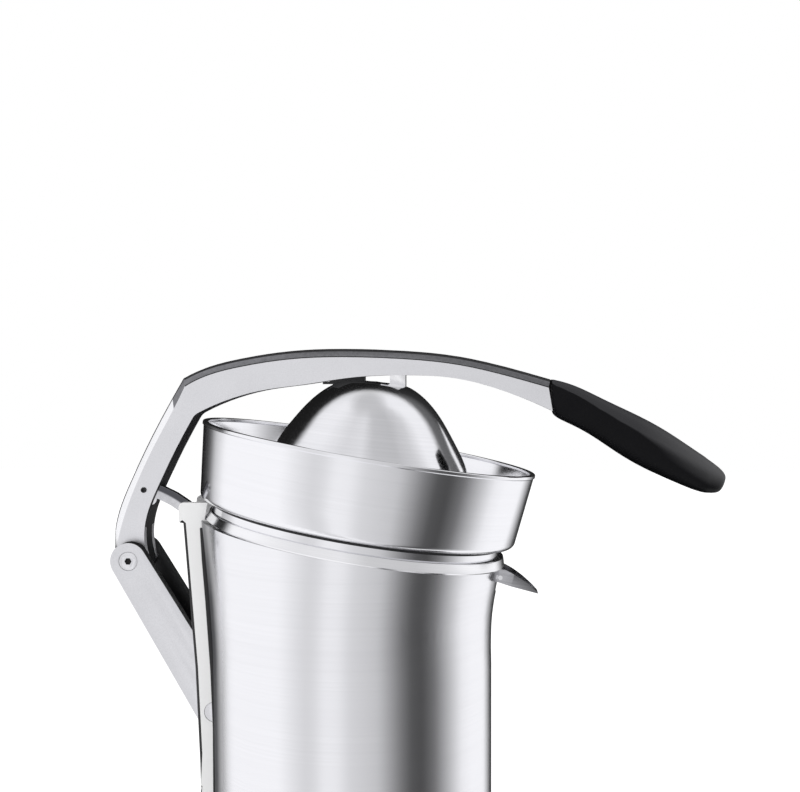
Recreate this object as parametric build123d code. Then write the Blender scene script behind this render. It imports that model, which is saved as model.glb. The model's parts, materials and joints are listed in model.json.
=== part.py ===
from build123d import *
import os
from math import acos, atan2, cos, degrees, hypot, pi, radians, sin, sqrt, tan

# Lever citrus press, in millimetres. +Z is up, +X points at the user, and the press is mirrored about Y = 0.
# The pieces are laid out about the bowl: x = 0 at the middle of its rim, z = 0 on the table. At the end all
# of them are moved together along X, so that the origin is the middle of the part's box, on the table.
# "h" is a height in the leaning frame of bowl and drive, counted from the bowl's rim along the drive axis.

# ------------------------------------------------------------------------------- general sizes
RIM_Z = 330.0           # middle of the bowl's rim above the table
TILT = 9.5              # lean of the bowl, collar and drive towards the user, degrees
RUN = 0.05              # radial clearance of a shaft that turns or slides in its bore
SEAT = 0.3              # clearance between pieces that rest in each other
SWING = 0.8             # side clearance of the links and the arm

# bowl, basket and collar (leaning frame)
BOWL_R = 110.0          # rim, outside
BOWL_FOOT_R = 103.8     # wall at the rounded lower edge
BOWL_H = 49.6           # rim to underside
BOWL_WALL = 1.6
BEAD_W = 3.5
BEAD_H = 2.0
CURL_R = 4.5            # rounding of the lower edge
NECK_R = 95.0           # foot ring that stands in the collar
NECK_H = 7.2
DRAIN_R = 61.0          # open middle of the bowl's floor
FLOOR_FALL = 2.5        # fall of the bowl's floor from wall to drain
GASKET_T = 1.0
COLLAR_R = 99.0
COLLAR_TOP_R = 97.4
COLLAR_H = 6.0
COLLAR_X = 0.9          # the collar sits this far ahead of the drive axis
LEDGE_T = 2.0
TONGUE_H = 3.4
BASKET_R = 76.0
BASKET_FOOT_R = 71.5
BASKET_RIM_H = 28.0     # depth of the basket's rim below the bowl's rim
BASKET_T = 1.0
SLOT_COUNT = 36
SLOT_W = 1.8

# juice tub and drip-stop spout (leaning frame)
TUB_R = 84.0
TROUGH_H = 5.0          # fall from the collar's foot to the tub's floor
TUB_T = 2.0
TUB_TUBE_R = 13.2       # tube that lifts the shaft hole above the juice
TUB_TUBE_TOP = 48.0
SPOUT_HALF = 13.2
SPOUT_T = 1.2
SPOUT_REACH = 26.0      # pivot to tip
SPOUT_DROP = 5.8        # tip below the tub
SPOUT_PIVOT_X = 98.2
SPOUT_PIN_R = 1.5
SPOUT_LIFT = 22.0       # travel of the drip stop, degrees

# body and base
BODY_X = -10.5          # axis of the upright body
BODY_R = 90.5
BODY_WALL = 1.6
SHOULDER_Z = 212.0      # the body is a plain cylinder below this
BASE_H = 32.0
BASE_R = 108.0
BASE_T = 4.0
TOE_X = 106.0           # middle of the round toe under the glass
TOE_R = 54.0
FOOT_R = 11.0
FOOT_H = 3.0
MAT_X = 118.0           # middle of the rubber mat under the glass
MAT_R = 35.0
MAT_T = 2.5

# spine that carries the links
RAIL_OUT = 27.5         # half width over the rails
RAIL_T = 6.0
RAIL_BACK = [(-107.0, 32.0), (-107.0, 110.0), (-110.8, 188.2), (-118.5, 281.0)]     # (x, z)
HEAD_X = -121.0
HEAD_TOP = 294.5
HEAD_FOOT = 282.0
WEB_T = 3.5

# linkage in side view, arm lowered: (x, z)
ELBOW = (-156.3, 255.2)         # arm on the lower link
EYE = (-147.7, 301.0)           # strut in the arm
LINK_FOOT = (-98.2, 159.8)      # lower link on the spine
STRUT_LEN = 52.8
LINK_SWING = 23.8               # lower link, lowered to raised, degrees
ARM_TURN = 53.9                 # arm against the body, lowered to raised, degrees
ARM_HALF = 12.0
ARM_END_R = 11.0
CHANNEL_HALF = 6.6
EAR_OUT = 20.5
EAR_R = 12.0
LINK_FOOT_R = 14.0
LINK_WEB_T = 4.5
PIN_R = 4.0
STRUT_HALF = 2.8
STRUT_DEPTH = 9.0
STRUT_RISE = 5.5
STRUT_PIN_R = 3.0
LUG_T = 3.0
LUG_R = 5.5
STRUT_STEPS = 6
HEAD_R = 6.0            # head ring of the elbow pins
HEAD_T = 2.0
HEEL_ARM = 13.5         # lobe of the lower link that works the arm switch
HEEL_R = 3.0
HEEL_ANGLE = -10.0
SWITCH_TRAVEL = 1.5     # of the arm switch
BEVEL_SIDE = 5.2
BEVEL_TOP = 4.0

# dome, cone and grip
DOME_TILT = 6.0
DOME_WALL = 1.2
LINER_T = 2.0
LINER_GAP = 0.4
CONE_WALL = 2.0
FIN_T = 2.4
FIN_RISE = 3.5
RIB_RISE = 1.6
FIN_COUNT = 4
GRIP_CLEAR = 0.3
TANG_LEN = 32.0
TANG_W = 12.0
TANG_D = 12.0
RIB_COUNT = 6
RIB_T = 2.0
MOUNT_HALF = 6.0
MOUNT_SCREWS = (-14.0, 18.7)
MOUNT_SEAT = 37.0

# drive (leaning frame; depths below the rim)
SHAFT_R = 5.0
HEX_AF = 9.0
SHAFT_TOP = 20.0
PRESS_TRAVEL = 2.5      # the cone goes down this far to close its switch
HUB_FOOT = 38.0         # the cone sits on the shaft's hexagon down to here
DECK_GAP = 8.4          # tub to motor deck
DECK_T = 3.0
BUSH_R = 9.0
BUSH_LEN = 8.5
MODULE = 1.0
TEETH_OUT = 60
TEETH_PINION = 15
TEETH_WHEEL = 48
TEETH_MOTOR = 12
MOTOR_X = 45.0          # motor axis ahead of the cone's axis
POST_LEN = 16.0         # deck to gearbox
LID_T = 3.0
GEAR_A_W = 8.0          # width of the output stage
GEAR_B_W = 3.4          # width of the motor stage
GEAR_GAP = 2.0          # over the output stage
STAGE_GAP = 1.6         # between the stages
BOX_FLOOR_T = 4.0
BOX_WALL = 2.5
MOTOR_R = 37.0
MOTOR_LEN = 70.0
ROTOR_R = 21.0
STATOR_GAP = 0.6
MOTOR_SHAFT_R = 4.0
HUB_R = 10.0            # journals of the output gear
AXLE_R = 3.0            # of the idler
SCREW_R = 1.5           # screws of gearbox and motor
POSTS = [(-26.0, 0.0), (2.0, -27.0), (20.0, 38.0), (50.0, -2.0)]     # from the deck to the gearbox

CENTRE3 = (Align.CENTER, Align.CENTER, Align.MIN)
CORNER3 = (Align.MIN, Align.MIN, Align.MIN)


# ------------------------------------------------------------------------------- small tools
def outline(points, rounds=None):
    """Closed outline in side view, with some corners rounded: {corner number: radius}."""
    face = make_face(Polyline(*points, close=True))
    for number, radius in (rounds or {}).items():
        corner = face.vertices().sort_by_distance((*points[number], 0))[0]
        face = fillet(corner, radius)
    return Plane.XZ * face


def turned(points, rounds=None):
    """Revolved piece from (radius, height) points."""
    return revolve(outline(points, rounds), Axis.Z)


def ring(r_out, r_in, top, bottom):
    """Plain ring between two heights."""
    return turned([(r_in, bottom), (r_out, bottom), (r_out, top), (r_in, top)])


def rod(r, top, bottom):
    """Upright round bar between two heights."""
    return Pos(0, 0, bottom) * Cylinder(r, top - bottom, align=CENTRE3)


def block(x0, x1, y0, y1, z0, z1):
    return Pos(x0, y0, z0) * Box(x1 - x0, y1 - y0, z1 - z0, align=CORNER3)


def slab(face, y0, y1):
    """Side view outline given thickness across the press, from y0 to y1."""
    return Pos(0, y1, 0) * extrude(face, y1 - y0)


def both(face, y0, y1):
    """The same slab on each side of the middle plane."""
    return slab(face, y0, y1) + slab(face, -y1, -y0)


def cross_pin(at, r, y0, y1):
    return slab(Plane.XZ * (Pos(*at) * Circle(r)), y0, y1)


def bar_outline(a, b, ra, rb):
    """Side view of a bar with two round ends."""
    return Plane.XZ * make_hull((Pos(*a) * Circle(ra)).edges() + (Pos(*b) * Circle(rb)).edges())


def lean(shape, tilt=TILT):
    """From the leaning frame of the bowl to the upright one."""
    return Pos(0, 0, RIM_Z) * Rot(0, tilt, 0) * shape


def around(count, shape, start=0.0):
    return [Rot(0, 0, start + 360.0 * i / count) * shape for i in range(count)]


def turn(point, centre, angle):
    """A side view point turned about a centre, raising angles positive."""
    dx, dz = point[0] - centre[0], point[1] - centre[1]
    c, s = cos(radians(angle)), sin(radians(angle))
    return (centre[0] + c * dx - s * dz, centre[1] + s * dx + c * dz)


def along(a, b, t, off=0.0):
    """Point at distance t from a towards b, and off to the left of that way."""
    n = hypot(b[0] - a[0], b[1] - a[1])
    ux, uz = (b[0] - a[0]) / n, (b[1] - a[1]) / n
    return (a[0] + ux * t - uz * off, a[1] + uz * t + ux * off)


def bearing(a, b):
    return degrees(atan2(b[1] - a[1], b[0] - a[0]))


def shifted(points, d):
    """Line of points moved sideways: to the left of its own way for a negative d."""
    moved = []
    for i, (x, z) in enumerate(points):
        x0, z0 = points[max(i - 1, 0)]
        x1, z1 = points[min(i + 1, len(points) - 1)]
        n = hypot(x1 - x0, z1 - z0)
        moved.append((x + d * (z1 - z0) / n, z - d * (x1 - x0) / n))
    return moved


def inset(points, d):
    """The same for a revolved profile, whose first point stays on the axis."""
    moved = shifted(points, d)
    return [(0.0, moved[0][1])] + moved[1:]


# ------------------------------------------------------------------------------- linkage geometry
elbow_up = turn(ELBOW, LINK_FOOT, -LINK_SWING)
eye_arm = (EYE[0] - ELBOW[0], EYE[1] - ELBOW[1])
eye_up = turn((elbow_up[0] + eye_arm[0], elbow_up[1] + eye_arm[1]), elbow_up, ARM_TURN)
# the strut's foot is as far from the eye lowered as from the eye raised
eye_mid = ((EYE[0] + eye_up[0]) / 2, (EYE[1] + eye_up[1]) / 2)
eye_gap = hypot(eye_up[0] - EYE[0], eye_up[1] - EYE[1])
STRUT_FOOT = along(eye_mid, EYE, 0.0, sqrt(STRUT_LEN ** 2 - (eye_gap / 2) ** 2))
STRUT_SWING = bearing(STRUT_FOOT, EYE) - bearing(STRUT_FOOT, eye_up)
ARM_LIFT = ARM_TURN + LINK_SWING        # turn of the arm on the lower link


def eye_track(steps=12):
    """Way of the strut's pin in the arm: how far towards the elbow, and how far aside."""
    way = []
    for i in range(steps + 1):
        s = i / steps
        elbow = turn(ELBOW, LINK_FOOT, -LINK_SWING * s)
        pin = turn(EYE, STRUT_FOOT, -STRUT_SWING * s)
        pin = turn(pin, elbow, -ARM_TURN * s)
        local = (pin[0] - elbow[0] + ELBOW[0], pin[1] - elbow[1] + ELBOW[1])
        n = hypot(*eye_arm)
        ux, uz = -eye_arm[0] / n, -eye_arm[1] / n
        dx, dz = local[0] - EYE[0], local[1] - EYE[1]
        way.append((dx * ux + dz * uz, dz * ux - dx * uz))
    return way


track = eye_track()
slot_run = max(t for t, _ in track)
slot_half = STRUT_PIN_R + max(abs(a) for _, a in track) + SEAT + 0.1

# ------------------------------------------------------------------------------- bowl and collar
neck_foot = -(BOWL_H + NECK_H)
floor_wall = -(BOWL_H - CURL_R - BOWL_WALL + 0.5)
floor_drain = floor_wall - FLOOR_FALL
juice_bowl = turned([
    (BOWL_R - BEAD_W, 0), (BOWL_R, 0), (BOWL_R, -BEAD_H), (BOWL_R - 0.8, -BEAD_H - 0.6),
    (BOWL_FOOT_R, -BOWL_H), (NECK_R, -BOWL_H), (NECK_R, neck_foot), (NECK_R - BOWL_WALL, neck_foot),
    (NECK_R - BOWL_WALL, -BOWL_H + BOWL_WALL), (DRAIN_R + BOWL_WALL, floor_drain - BOWL_WALL),
    (DRAIN_R + BOWL_WALL, floor_drain - 3 * BOWL_WALL), (DRAIN_R, floor_drain - 3 * BOWL_WALL),
    (DRAIN_R, floor_drain), (BOWL_FOOT_R - BOWL_WALL, floor_wall),
    (BOWL_R - BOWL_WALL - 0.7, -BEAD_H - 0.6), (BOWL_R - BEAD_W, -BEAD_H)],
    {0: 0.6, 1: 0.6, 4: CURL_R})

ledge = neck_foot - GASKET_T
tub_rim = ledge - LEDGE_T
collar_foot = -(BOWL_H + NECK_H + COLLAR_H - 0.2)
tub_floor = collar_foot - TROUGH_H
trough_foot = tub_floor - TUB_T

# heights of the drive, one under the other
deck_top = trough_foot - DECK_GAP
bush_foot = deck_top - BUSH_LEN
lid_top = deck_top - POST_LEN
gear_a = lid_top - LID_T - GEAR_GAP
gear_b = gear_a - GEAR_A_W - STAGE_GAP
box_floor = gear_b - GEAR_B_W - 1.0
box_foot = box_floor - BOX_FLOOR_T
shaft_end = box_foot - 1.0
SPOUT_PIVOT = (SPOUT_PIVOT_X, trough_foot + 0.6)
SPOUT_TIP = (SPOUT_PIVOT_X + SPOUT_REACH, trough_foot - SPOUT_DROP)
collar_profile = [
    (NECK_R - 7.0, collar_foot + 0.4), (NECK_R - 7.0, tub_rim),
    (NECK_R - 3.8, tub_rim), (NECK_R - 3.8, ledge),
    (NECK_R + 1.2, ledge), (NECK_R + 1.6, ledge + 1.5), (COLLAR_TOP_R, ledge + 1.5),
    (COLLAR_R, collar_foot + 0.8), (COLLAR_R - 0.6, collar_foot), (NECK_R - 1.2, collar_foot),
    (NECK_R - 1.2, collar_foot - TONGUE_H), (NECK_R - 3.2, collar_foot - TONGUE_H),
    (NECK_R - 3.2, collar_foot + 0.4)]
bowl_gasket = Pos(COLLAR_X, 0, 0) * ring(NECK_R + 0.6, NECK_R - 2.8, neck_foot - 0.05, ledge + 0.05)
gap_half = SPOUT_HALF + 1.3
gap_top = collar_foot + 0.05
spout_gap = block(COLLAR_R - 19, COLLAR_R + 13, -gap_half, gap_half, deck_top - 2, gap_top)
collar_ring = Pos(COLLAR_X, 0, 0) * turned(collar_profile, {6: 0.5}) - spout_gap

floor_slope = FLOOR_FALL / (BOWL_FOOT_R - BOWL_WALL - DRAIN_R)
basket_floor = floor_drain + floor_slope * (BASKET_FOOT_R + 1 - DRAIN_R) + BASKET_T + SEAT
basket_points = [(BASKET_R + 2.5, -BASKET_RIM_H), (BASKET_R, -BASKET_RIM_H - 0.6),
                 (BASKET_FOOT_R, basket_floor), (TUB_TUBE_R + 4, basket_floor - 3.5)]
filter_basket = turned(basket_points + [
    (TUB_TUBE_R + 4, basket_floor - 3.5 - BASKET_T), (BASKET_FOOT_R + 0.6, basket_floor - BASKET_T),
    (BASKET_R + BASKET_T, -BASKET_RIM_H - 0.6 - BASKET_T), (BASKET_R + 2.5, -BASKET_RIM_H - BASKET_T)])
slot_foot, slot_top = basket_floor - 9, basket_floor + 9
floor_slot = block(TUB_TUBE_R + 12, BASKET_FOOT_R - 16, -SLOT_W / 2, SLOT_W / 2, slot_foot, slot_top)
rim_slot = block(BASKET_FOOT_R - 13, BASKET_FOOT_R - 2, -SLOT_W / 2, SLOT_W / 2, slot_foot, slot_top)
filter_basket -= around(SLOT_COUNT // 2, floor_slot) + around(SLOT_COUNT, rim_slot, 180.0 / SLOT_COUNT)

# ------------------------------------------------------------------------------- juice tub and spout
tub_in = TUB_R - TUB_T
trough_end = SPOUT_PIVOT[0] - 1.7
trough_half = SPOUT_HALF - SPOUT_T - 0.5
juice_tub = turned([
    (NECK_R - 5.2, tub_rim + SEAT), (TUB_R, tub_rim + SEAT), (TUB_R, trough_foot),
    (TUB_TUBE_R - TUB_T, trough_foot), (TUB_TUBE_R - TUB_T, -TUB_TUBE_TOP), (TUB_TUBE_R, -TUB_TUBE_TOP),
    (TUB_TUBE_R, tub_floor), (tub_in, tub_floor), (tub_in, tub_rim + SEAT + 1.5),
    (NECK_R - 5.2, tub_rim + SEAT + 1.5)])
trough_top = collar_foot - 1.2
juice_tub += block(TUB_R - 1, trough_end, -trough_half, trough_half, trough_foot, trough_top)
trough_in = trough_half - 1.5
juice_tub -= block(tub_in - 4, trough_end + 1, -trough_in, trough_in, tub_floor, trough_top + 1)
pivot_lug = both(outline([(trough_end - 5, trough_foot), (SPOUT_PIVOT[0], trough_foot + 0.6),
                          (SPOUT_PIVOT[0] + 2.6, SPOUT_PIVOT[1]), (SPOUT_PIVOT[0], SPOUT_PIVOT[1] + 2.6),
                          (trough_end - 5, trough_top)]), trough_half - 1.5, trough_half)
spout_pins = both(Plane.XZ * (Pos(*SPOUT_PIVOT) * Circle(SPOUT_PIN_R)), trough_half - 1.5, SPOUT_HALF - 0.1)
juice_tub += pivot_lug
juice_tub -= cross_pin(SPOUT_PIVOT, SPOUT_PIN_R + RUN, -SPOUT_HALF, SPOUT_HALF)

beak_root = SPOUT_PIVOT[0] - 4.0
beak_top = collar_foot - 0.8
beak_foot = trough_foot - 2.0
ridge_x = SPOUT_PIVOT[0] + 2.8
crest = (SPOUT_PIVOT[0] + 14.3, trough_foot + 1.6)


def beak(half, drop, nose):
    """Beak of the spout: side view within a plan that narrows to the tip."""
    tip = (SPOUT_TIP[0] - nose, SPOUT_TIP[1] + drop)
    ridge = (ridge_x, beak_top + drop)
    rear_top, rear_foot = (beak_root, beak_top + drop), (beak_root, beak_foot + drop)
    edges = [Line(rear_top, rear_foot), Line(rear_foot, (tip[0], tip[1] - 0.5)),
             Line((tip[0], tip[1] - 0.5), tip),
             ThreePointArc(tip, (crest[0], crest[1] + drop), ridge), Line(ridge, rear_top)]
    view = Plane.XZ * make_face([e.edge() for e in edges])
    plan = [(beak_root - 1, half), (ridge_x + 5, half), (tip[0], half * 0.5)]
    plan = make_face(Polyline(*plan, *[(x, -y) for x, y in plan[::-1]], close=True))
    return slab(view, -half, half) & (Pos(0, 0, beak_foot - 12) * extrude(plan, 40))


drip_stop = beak(SPOUT_HALF, 0.0, 0.0) - beak(SPOUT_HALF - SPOUT_T, SPOUT_T, 1.0)
drip_stop -= block(beak_root - 1, ridge_x + 0.4, -SPOUT_HALF + SPOUT_T, SPOUT_HALF - SPOUT_T,
                   beak_foot + SPOUT_T, beak_top + 10)
drip_stop -= cross_pin(SPOUT_PIVOT, SPOUT_PIN_R + RUN, -SPOUT_HALF, SPOUT_HALF)

# ------------------------------------------------------------------------------- body and base
body_top = collar_foot - SEAT


def body_volume(less, foot):
    """Inside of the body's skin, less a wall: the leaning round top runs into an upright cylinder."""
    low = SHOULDER_Z - 24
    sections = [lean(Pos(COLLAR_X, 0, body_top) * Circle(COLLAR_R - 2.0 - less)),
                Pos(BODY_X + 0.3, 0, SHOULDER_Z + 26) * Rot(0, TILT * 0.5, 0) * Circle(BODY_R + 2.0 - less),
                Pos(BODY_X, 0, SHOULDER_Z) * Circle(BODY_R - less),
                Pos(BODY_X, 0, low) * Circle(BODY_R - less)]
    skin = loft(sections)
    return skin + Pos(BODY_X, 0, foot) * Cylinder(BODY_R - less, low - foot, align=CENTRE3)


body_full = body_volume(0.0, BASE_H)
body_shell = body_full - body_volume(BODY_WALL, BASE_H - 1)
spine_room = block(-140, -60, -RAIL_OUT - SEAT, RAIL_OUT + SEAT, BASE_H - 1, RIM_Z)
body_shell -= spine_room
body_shell -= lean(spout_gap)


def base_plan(less):
    rear = Pos(BODY_X, 0) * Circle(BASE_R - less)
    toe = Pos(TOE_X, 0) * Circle(TOE_R - less)
    return make_hull(rear.edges() + toe.edges())


base_casting = Pos(0, 0, FOOT_H) * extrude(base_plan(0.0), BASE_H - FOOT_H)
base_casting = fillet(base_casting.edges().group_by(Axis.Z)[-1], 5.0)
base_casting = chamfer(base_casting.edges().group_by(Axis.Z)[0], 1.5)
base_casting -= Pos(0, 0, FOOT_H - 1) * extrude(base_plan(BASE_T), BASE_H - BASE_T - FOOT_H + 1)
register_r = BODY_R - BODY_WALL - SEAT
register = Pos(BODY_X, 0, 0) * ring(register_r, register_r - 3, BASE_H + 5, BASE_H) - spine_room
base_casting += register
plate_top = FOOT_H + 2.0
boss_spots = [(BODY_X - 62, 62), (BODY_X - 62, -62), (TOE_X - 6, 34), (TOE_X - 6, -34)]
board_spots = [(BODY_X - 30, 24), (BODY_X - 30, -24), (BODY_X + 30, 24), (BODY_X + 30, -24)]
for x, y in boss_spots:
    boss = rod(5.0, BASE_H - BASE_T, plate_top) - rod(1.5 + RUN, 16, plate_top)
    base_casting += Pos(x, y, 0) * boss
for x, y in board_spots:
    base_casting += Pos(x, y, 0) * rod(3.5, BASE_H + 12, BASE_H)
mat_z = BASE_H - MAT_T + 0.5
base_casting -= Pos(MAT_X, 0, mat_z) * rod(MAT_R + SEAT, 10, 0)
mat_low = MAT_T - 0.6
glass_mat = Pos(MAT_X, 0, mat_z) * turned([
    (0, 0), (MAT_R, 0), (MAT_R, MAT_T), (MAT_R - 3, MAT_T), (MAT_R - 3, mat_low), (MAT_R - 9, mat_low),
    (MAT_R - 9, MAT_T), (MAT_R - 12, MAT_T), (MAT_R - 12, mat_low), (0, mat_low)])

base_plate = Pos(0, 0, FOOT_H) * extrude(base_plan(BASE_T + SEAT), plate_top - FOOT_H)
for x, y in boss_spots:
    base_plate -= Pos(x, y, 0) * rod(1.8, plate_top + 1, FOOT_H - 1)
screw_up = rod(3.2, FOOT_H, FOOT_H - 1.6) + rod(1.5, 15, FOOT_H)
screw_up -= Pos(0, 0, FOOT_H - 1.7) * Box(3.6, 0.8, 1.4)
base_screws = Part() + [Pos(x, y, 0) * screw_up for x, y in boss_spots]
foot_spots = [(BODY_X - 80, 34), (BODY_X - 80, -34), (TOE_X + 26, 22), (TOE_X + 26, -22)]
foot_pad = turned([(0, 0), (FOOT_R - 1, 0), (FOOT_R, 1), (FOOT_R, FOOT_H), (0, FOOT_H)])
rubber_feet = Part() + [Pos(x, y, 0) * foot_pad for x, y in foot_spots]

gland_z = BASE_H / 2
gland_x = BODY_X - BASE_R
gland = Rot(0, -90, 0) * turned([(3.6, -BASE_T - 4), (6.0, -BASE_T - 4), (6.0, 0.2), (9.0, 0.2), (8.4, 3.4),
                                 (6.4, 4.6), (3.6, 4.6)])
cable_gland = Pos(gland_x, 0, gland_z) * gland
base_casting -= Pos(gland_x, 0, gland_z) * Rot(0, -90, 0) * rod(6.0 + RUN, 5, -BASE_T - 2)

board_z = BASE_H + 12
control_board = block(BODY_X - 36, BODY_X + 36, -30, 30, board_z, board_z + 1.6)
relay = block(BODY_X - 28, BODY_X - 10, -20, -8, board_z + 1.6, board_z + 17)
choke = Pos(BODY_X + 12, 12, board_z + 1.6) * Cylinder(9, 14, align=CENTRE3)
plugs = block(BODY_X - 30, BODY_X + 6, 20, 27, board_z + 1.6, board_z + 12)
control_board += [relay, choke, plugs]

# ------------------------------------------------------------------------------- spine


web_high = (elbow_up[0] + EAR_R + 1.3, elbow_up[1])
web_low = (LINK_FOOT[0] + LINK_FOOT_R + 1.5, LINK_FOOT[1])
web_top = HEAD_FOOT - 3.0
foot_x = web_low[0] + WEB_T
rail = outline([
    (HEAD_X, HEAD_TOP), (COLLAR_X - COLLAR_R - 4, HEAD_TOP), (COLLAR_X - COLLAR_R - 4, HEAD_FOOT),
    (web_high[0] + WEB_T, web_top), (web_high[0] + WEB_T, web_high[1]), (foot_x, web_low[1]),
    (foot_x, BASE_H)] + RAIL_BACK + [(HEAD_X, HEAD_FOOT)], {0: 3.0})
web = outline([(web_high[0], web_top), (web_high[0] + WEB_T, web_top), (web_high[0] + WEB_T, web_high[1]),
               (foot_x, web_low[1]), (foot_x, BASE_H), (web_low[0] - 7, BASE_H), (web_low[0] - 7, BASE_H + 9),
               (web_low[0], BASE_H + 9), web_low, web_high])
rail_in = RAIL_OUT - RAIL_T
spine_casting = both(rail, rail_in, RAIL_OUT) + slab(web, -rail_in, rail_in)
collar_room = Pos(COLLAR_X, 0, 0) * (rod(COLLAR_R + 0.8, -40, body_top)
                                     + rod(NECK_R + 1.0, -50, collar_foot - TONGUE_H - 0.5))
collar_room = lean(collar_room)
spine_casting -= collar_room
spine_casting -= cross_pin(LINK_FOOT, PIN_R + 0.02, -RAIL_OUT - 1, RAIL_OUT + 1)
spine_casting -= both(Plane.XZ * (Pos(*LINK_FOOT) * Circle(6.5)), RAIL_OUT - 2.0, RAIL_OUT + 1)
lug_out = STRUT_HALF + 0.4 + LUG_T
strut_lugs = both(outline([(web_high[0] + 1, STRUT_FOOT[1] - 11), (web_high[0] + 1, STRUT_FOOT[1] + 8),
                           (STRUT_FOOT[0], STRUT_FOOT[1] + LUG_R), (STRUT_FOOT[0] - LUG_R, STRUT_FOOT[1]),
                           (STRUT_FOOT[0], STRUT_FOOT[1] - LUG_R)], {3: 4.0}), STRUT_HALF + 0.4, lug_out)
strut_lugs -= cross_pin(STRUT_FOOT, STRUT_PIN_R + 0.02, -20, 20)
spine_casting += strut_lugs
spine_screws = Part() + [Pos(foot_x - 7.5, y, 0) * (rod(1.6, BASE_H + 8, BASE_H - BASE_T)
                         + rod(3.4, BASE_H - BASE_T, BASE_H - BASE_T - 2.4)) for y in (-14, 14)]
for y in (-14, 14):
    hole = Pos(foot_x - 7.5, y, 0) * rod(1.6 + RUN, BASE_H + 9, BASE_H - BASE_T - 1)
    spine_casting -= hole
    base_casting -= hole

# ------------------------------------------------------------------------------- links
ear_in = ARM_HALF + SWING
link_view = bar_outline(ELBOW, LINK_FOOT, EAR_R, LINK_FOOT_R)
link_len = hypot(LINK_FOOT[0] - ELBOW[0], LINK_FOOT[1] - ELBOW[1])
web_start, web_end = EAR_R + 4.0, link_len - LINK_FOOT_R - 1.0
back = -40.0
web_band = outline([along(ELBOW, LINK_FOOT, web_start, back),
                    along(ELBOW, LINK_FOOT, web_end, back),
                    along(ELBOW, LINK_FOOT, web_end, -LINK_FOOT_R + LINK_WEB_T + 0.6),
                    along(ELBOW, LINK_FOOT, web_start, -EAR_R + LINK_WEB_T)])
lower_link = both(link_view, ear_in, EAR_OUT)
lower_link += slab(link_view, -ear_in, ear_in) & slab(web_band, -ear_in, ear_in)
heel_at = along(LINK_FOOT, turn((LINK_FOOT[0] + 1, LINK_FOOT[1]), LINK_FOOT, HEEL_ANGLE), HEEL_ARM)
lower_link += cross_pin(heel_at, HEEL_R, ear_in, EAR_OUT)
lower_link -= cross_pin(LINK_FOOT, PIN_R + RUN, -EAR_OUT - 1, EAR_OUT + 1)
lower_link -= cross_pin(ELBOW, PIN_R + 0.02, -EAR_OUT - 1, EAR_OUT + 1)
lower_link -= both(Plane.XZ * (Pos(*ELBOW) * Circle(HEAD_R + 0.15)), EAR_OUT - HEAD_T, EAR_OUT + 1)
elbow_pin = slab(Plane.XZ * (Pos(*ELBOW) * Circle(PIN_R)), CHANNEL_HALF + 0.1, EAR_OUT - HEAD_T)
elbow_pin += slab(Plane.XZ * (Pos(*ELBOW) * Circle(HEAD_R)), EAR_OUT - HEAD_T, EAR_OUT - 0.1)
elbow_pin -= slab(Plane.XZ * (Pos(*ELBOW) * RegularPolygon(2.3, 6)), EAR_OUT - HEAD_T - 0.5, EAR_OUT)
elbow_pins = elbow_pin + mirror(elbow_pin, Plane.XZ)
foot_pin = cross_pin(LINK_FOOT, PIN_R, -RAIL_OUT + 2.0, RAIL_OUT - 2.0)
foot_pin += both(Plane.XZ * (Pos(*LINK_FOOT) * Circle(6.3)), RAIL_OUT - 2.0, RAIL_OUT - 0.2)

strut_mid = along(STRUT_FOOT, EYE, STRUT_LEN / 2, -STRUT_RISE)
strut_path = ThreePointArc(STRUT_FOOT, strut_mid, EYE)
strut_hull = []
for i in range(STRUT_STEPS):
    a, b = strut_path @ (i / STRUT_STEPS), strut_path @ ((i + 1) / STRUT_STEPS)
    piece = bar_outline((a.X, a.Y), (b.X, b.Y), STRUT_DEPTH / 2, STRUT_DEPTH / 2)
    strut_hull.append(slab(piece, -STRUT_HALF, STRUT_HALF))
strut = Part() + strut_hull
strut -= cross_pin(STRUT_FOOT, STRUT_PIN_R + RUN, -5, 5)
strut -= cross_pin(EYE, STRUT_PIN_R + 0.02, -5, 5)
strut_foot_pin = cross_pin(STRUT_FOOT, STRUT_PIN_R, -lug_out, lug_out)
eye_pin_half = ARM_HALF - 2.4
strut_eye_pin = cross_pin(EYE, STRUT_PIN_R, -eye_pin_half, eye_pin_half)

# ------------------------------------------------------------------------------- arm
arm_front_top, arm_front_low = (117.7, 373.8), (118.9, 353.4)
elbow_corner, inner_corner = (-122.6, 374.6), (-114.4, 350.5)
arm_back = (ELBOW[0] - ARM_END_R, ELBOW[1])
arm_inside = (ELBOW[0] + ARM_END_R, ELBOW[1])
arm_top = [arm_front_top, (90.0, 381.6), (58.8, 388.6), (23.0, 392.4), (-12.3, 393.7), (-36.2, 393.4),
           (-60.2, 391.4), (-84.2, 387.5), (-106.0, 382.0), elbow_corner]
arm_leg = [elbow_corner, (-130.9, 360.2), (-145.0, 334.0), (-157.9, 307.0), (-167.8, 280.0), arm_back]
arm_under = [inner_corner, (-91.5, 360.7), (-67.5, 367.0), (-43.6, 370.2), (-11.9, 374.9), (27.5, 376.5),
             (51.0, 375.2), (90.0, 365.5), arm_front_low]
arm_inner_leg = [arm_inside, (-145.1, 287.9), (-137.9, 305.0), (-128.2, 325.2), inner_corner]


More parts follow.
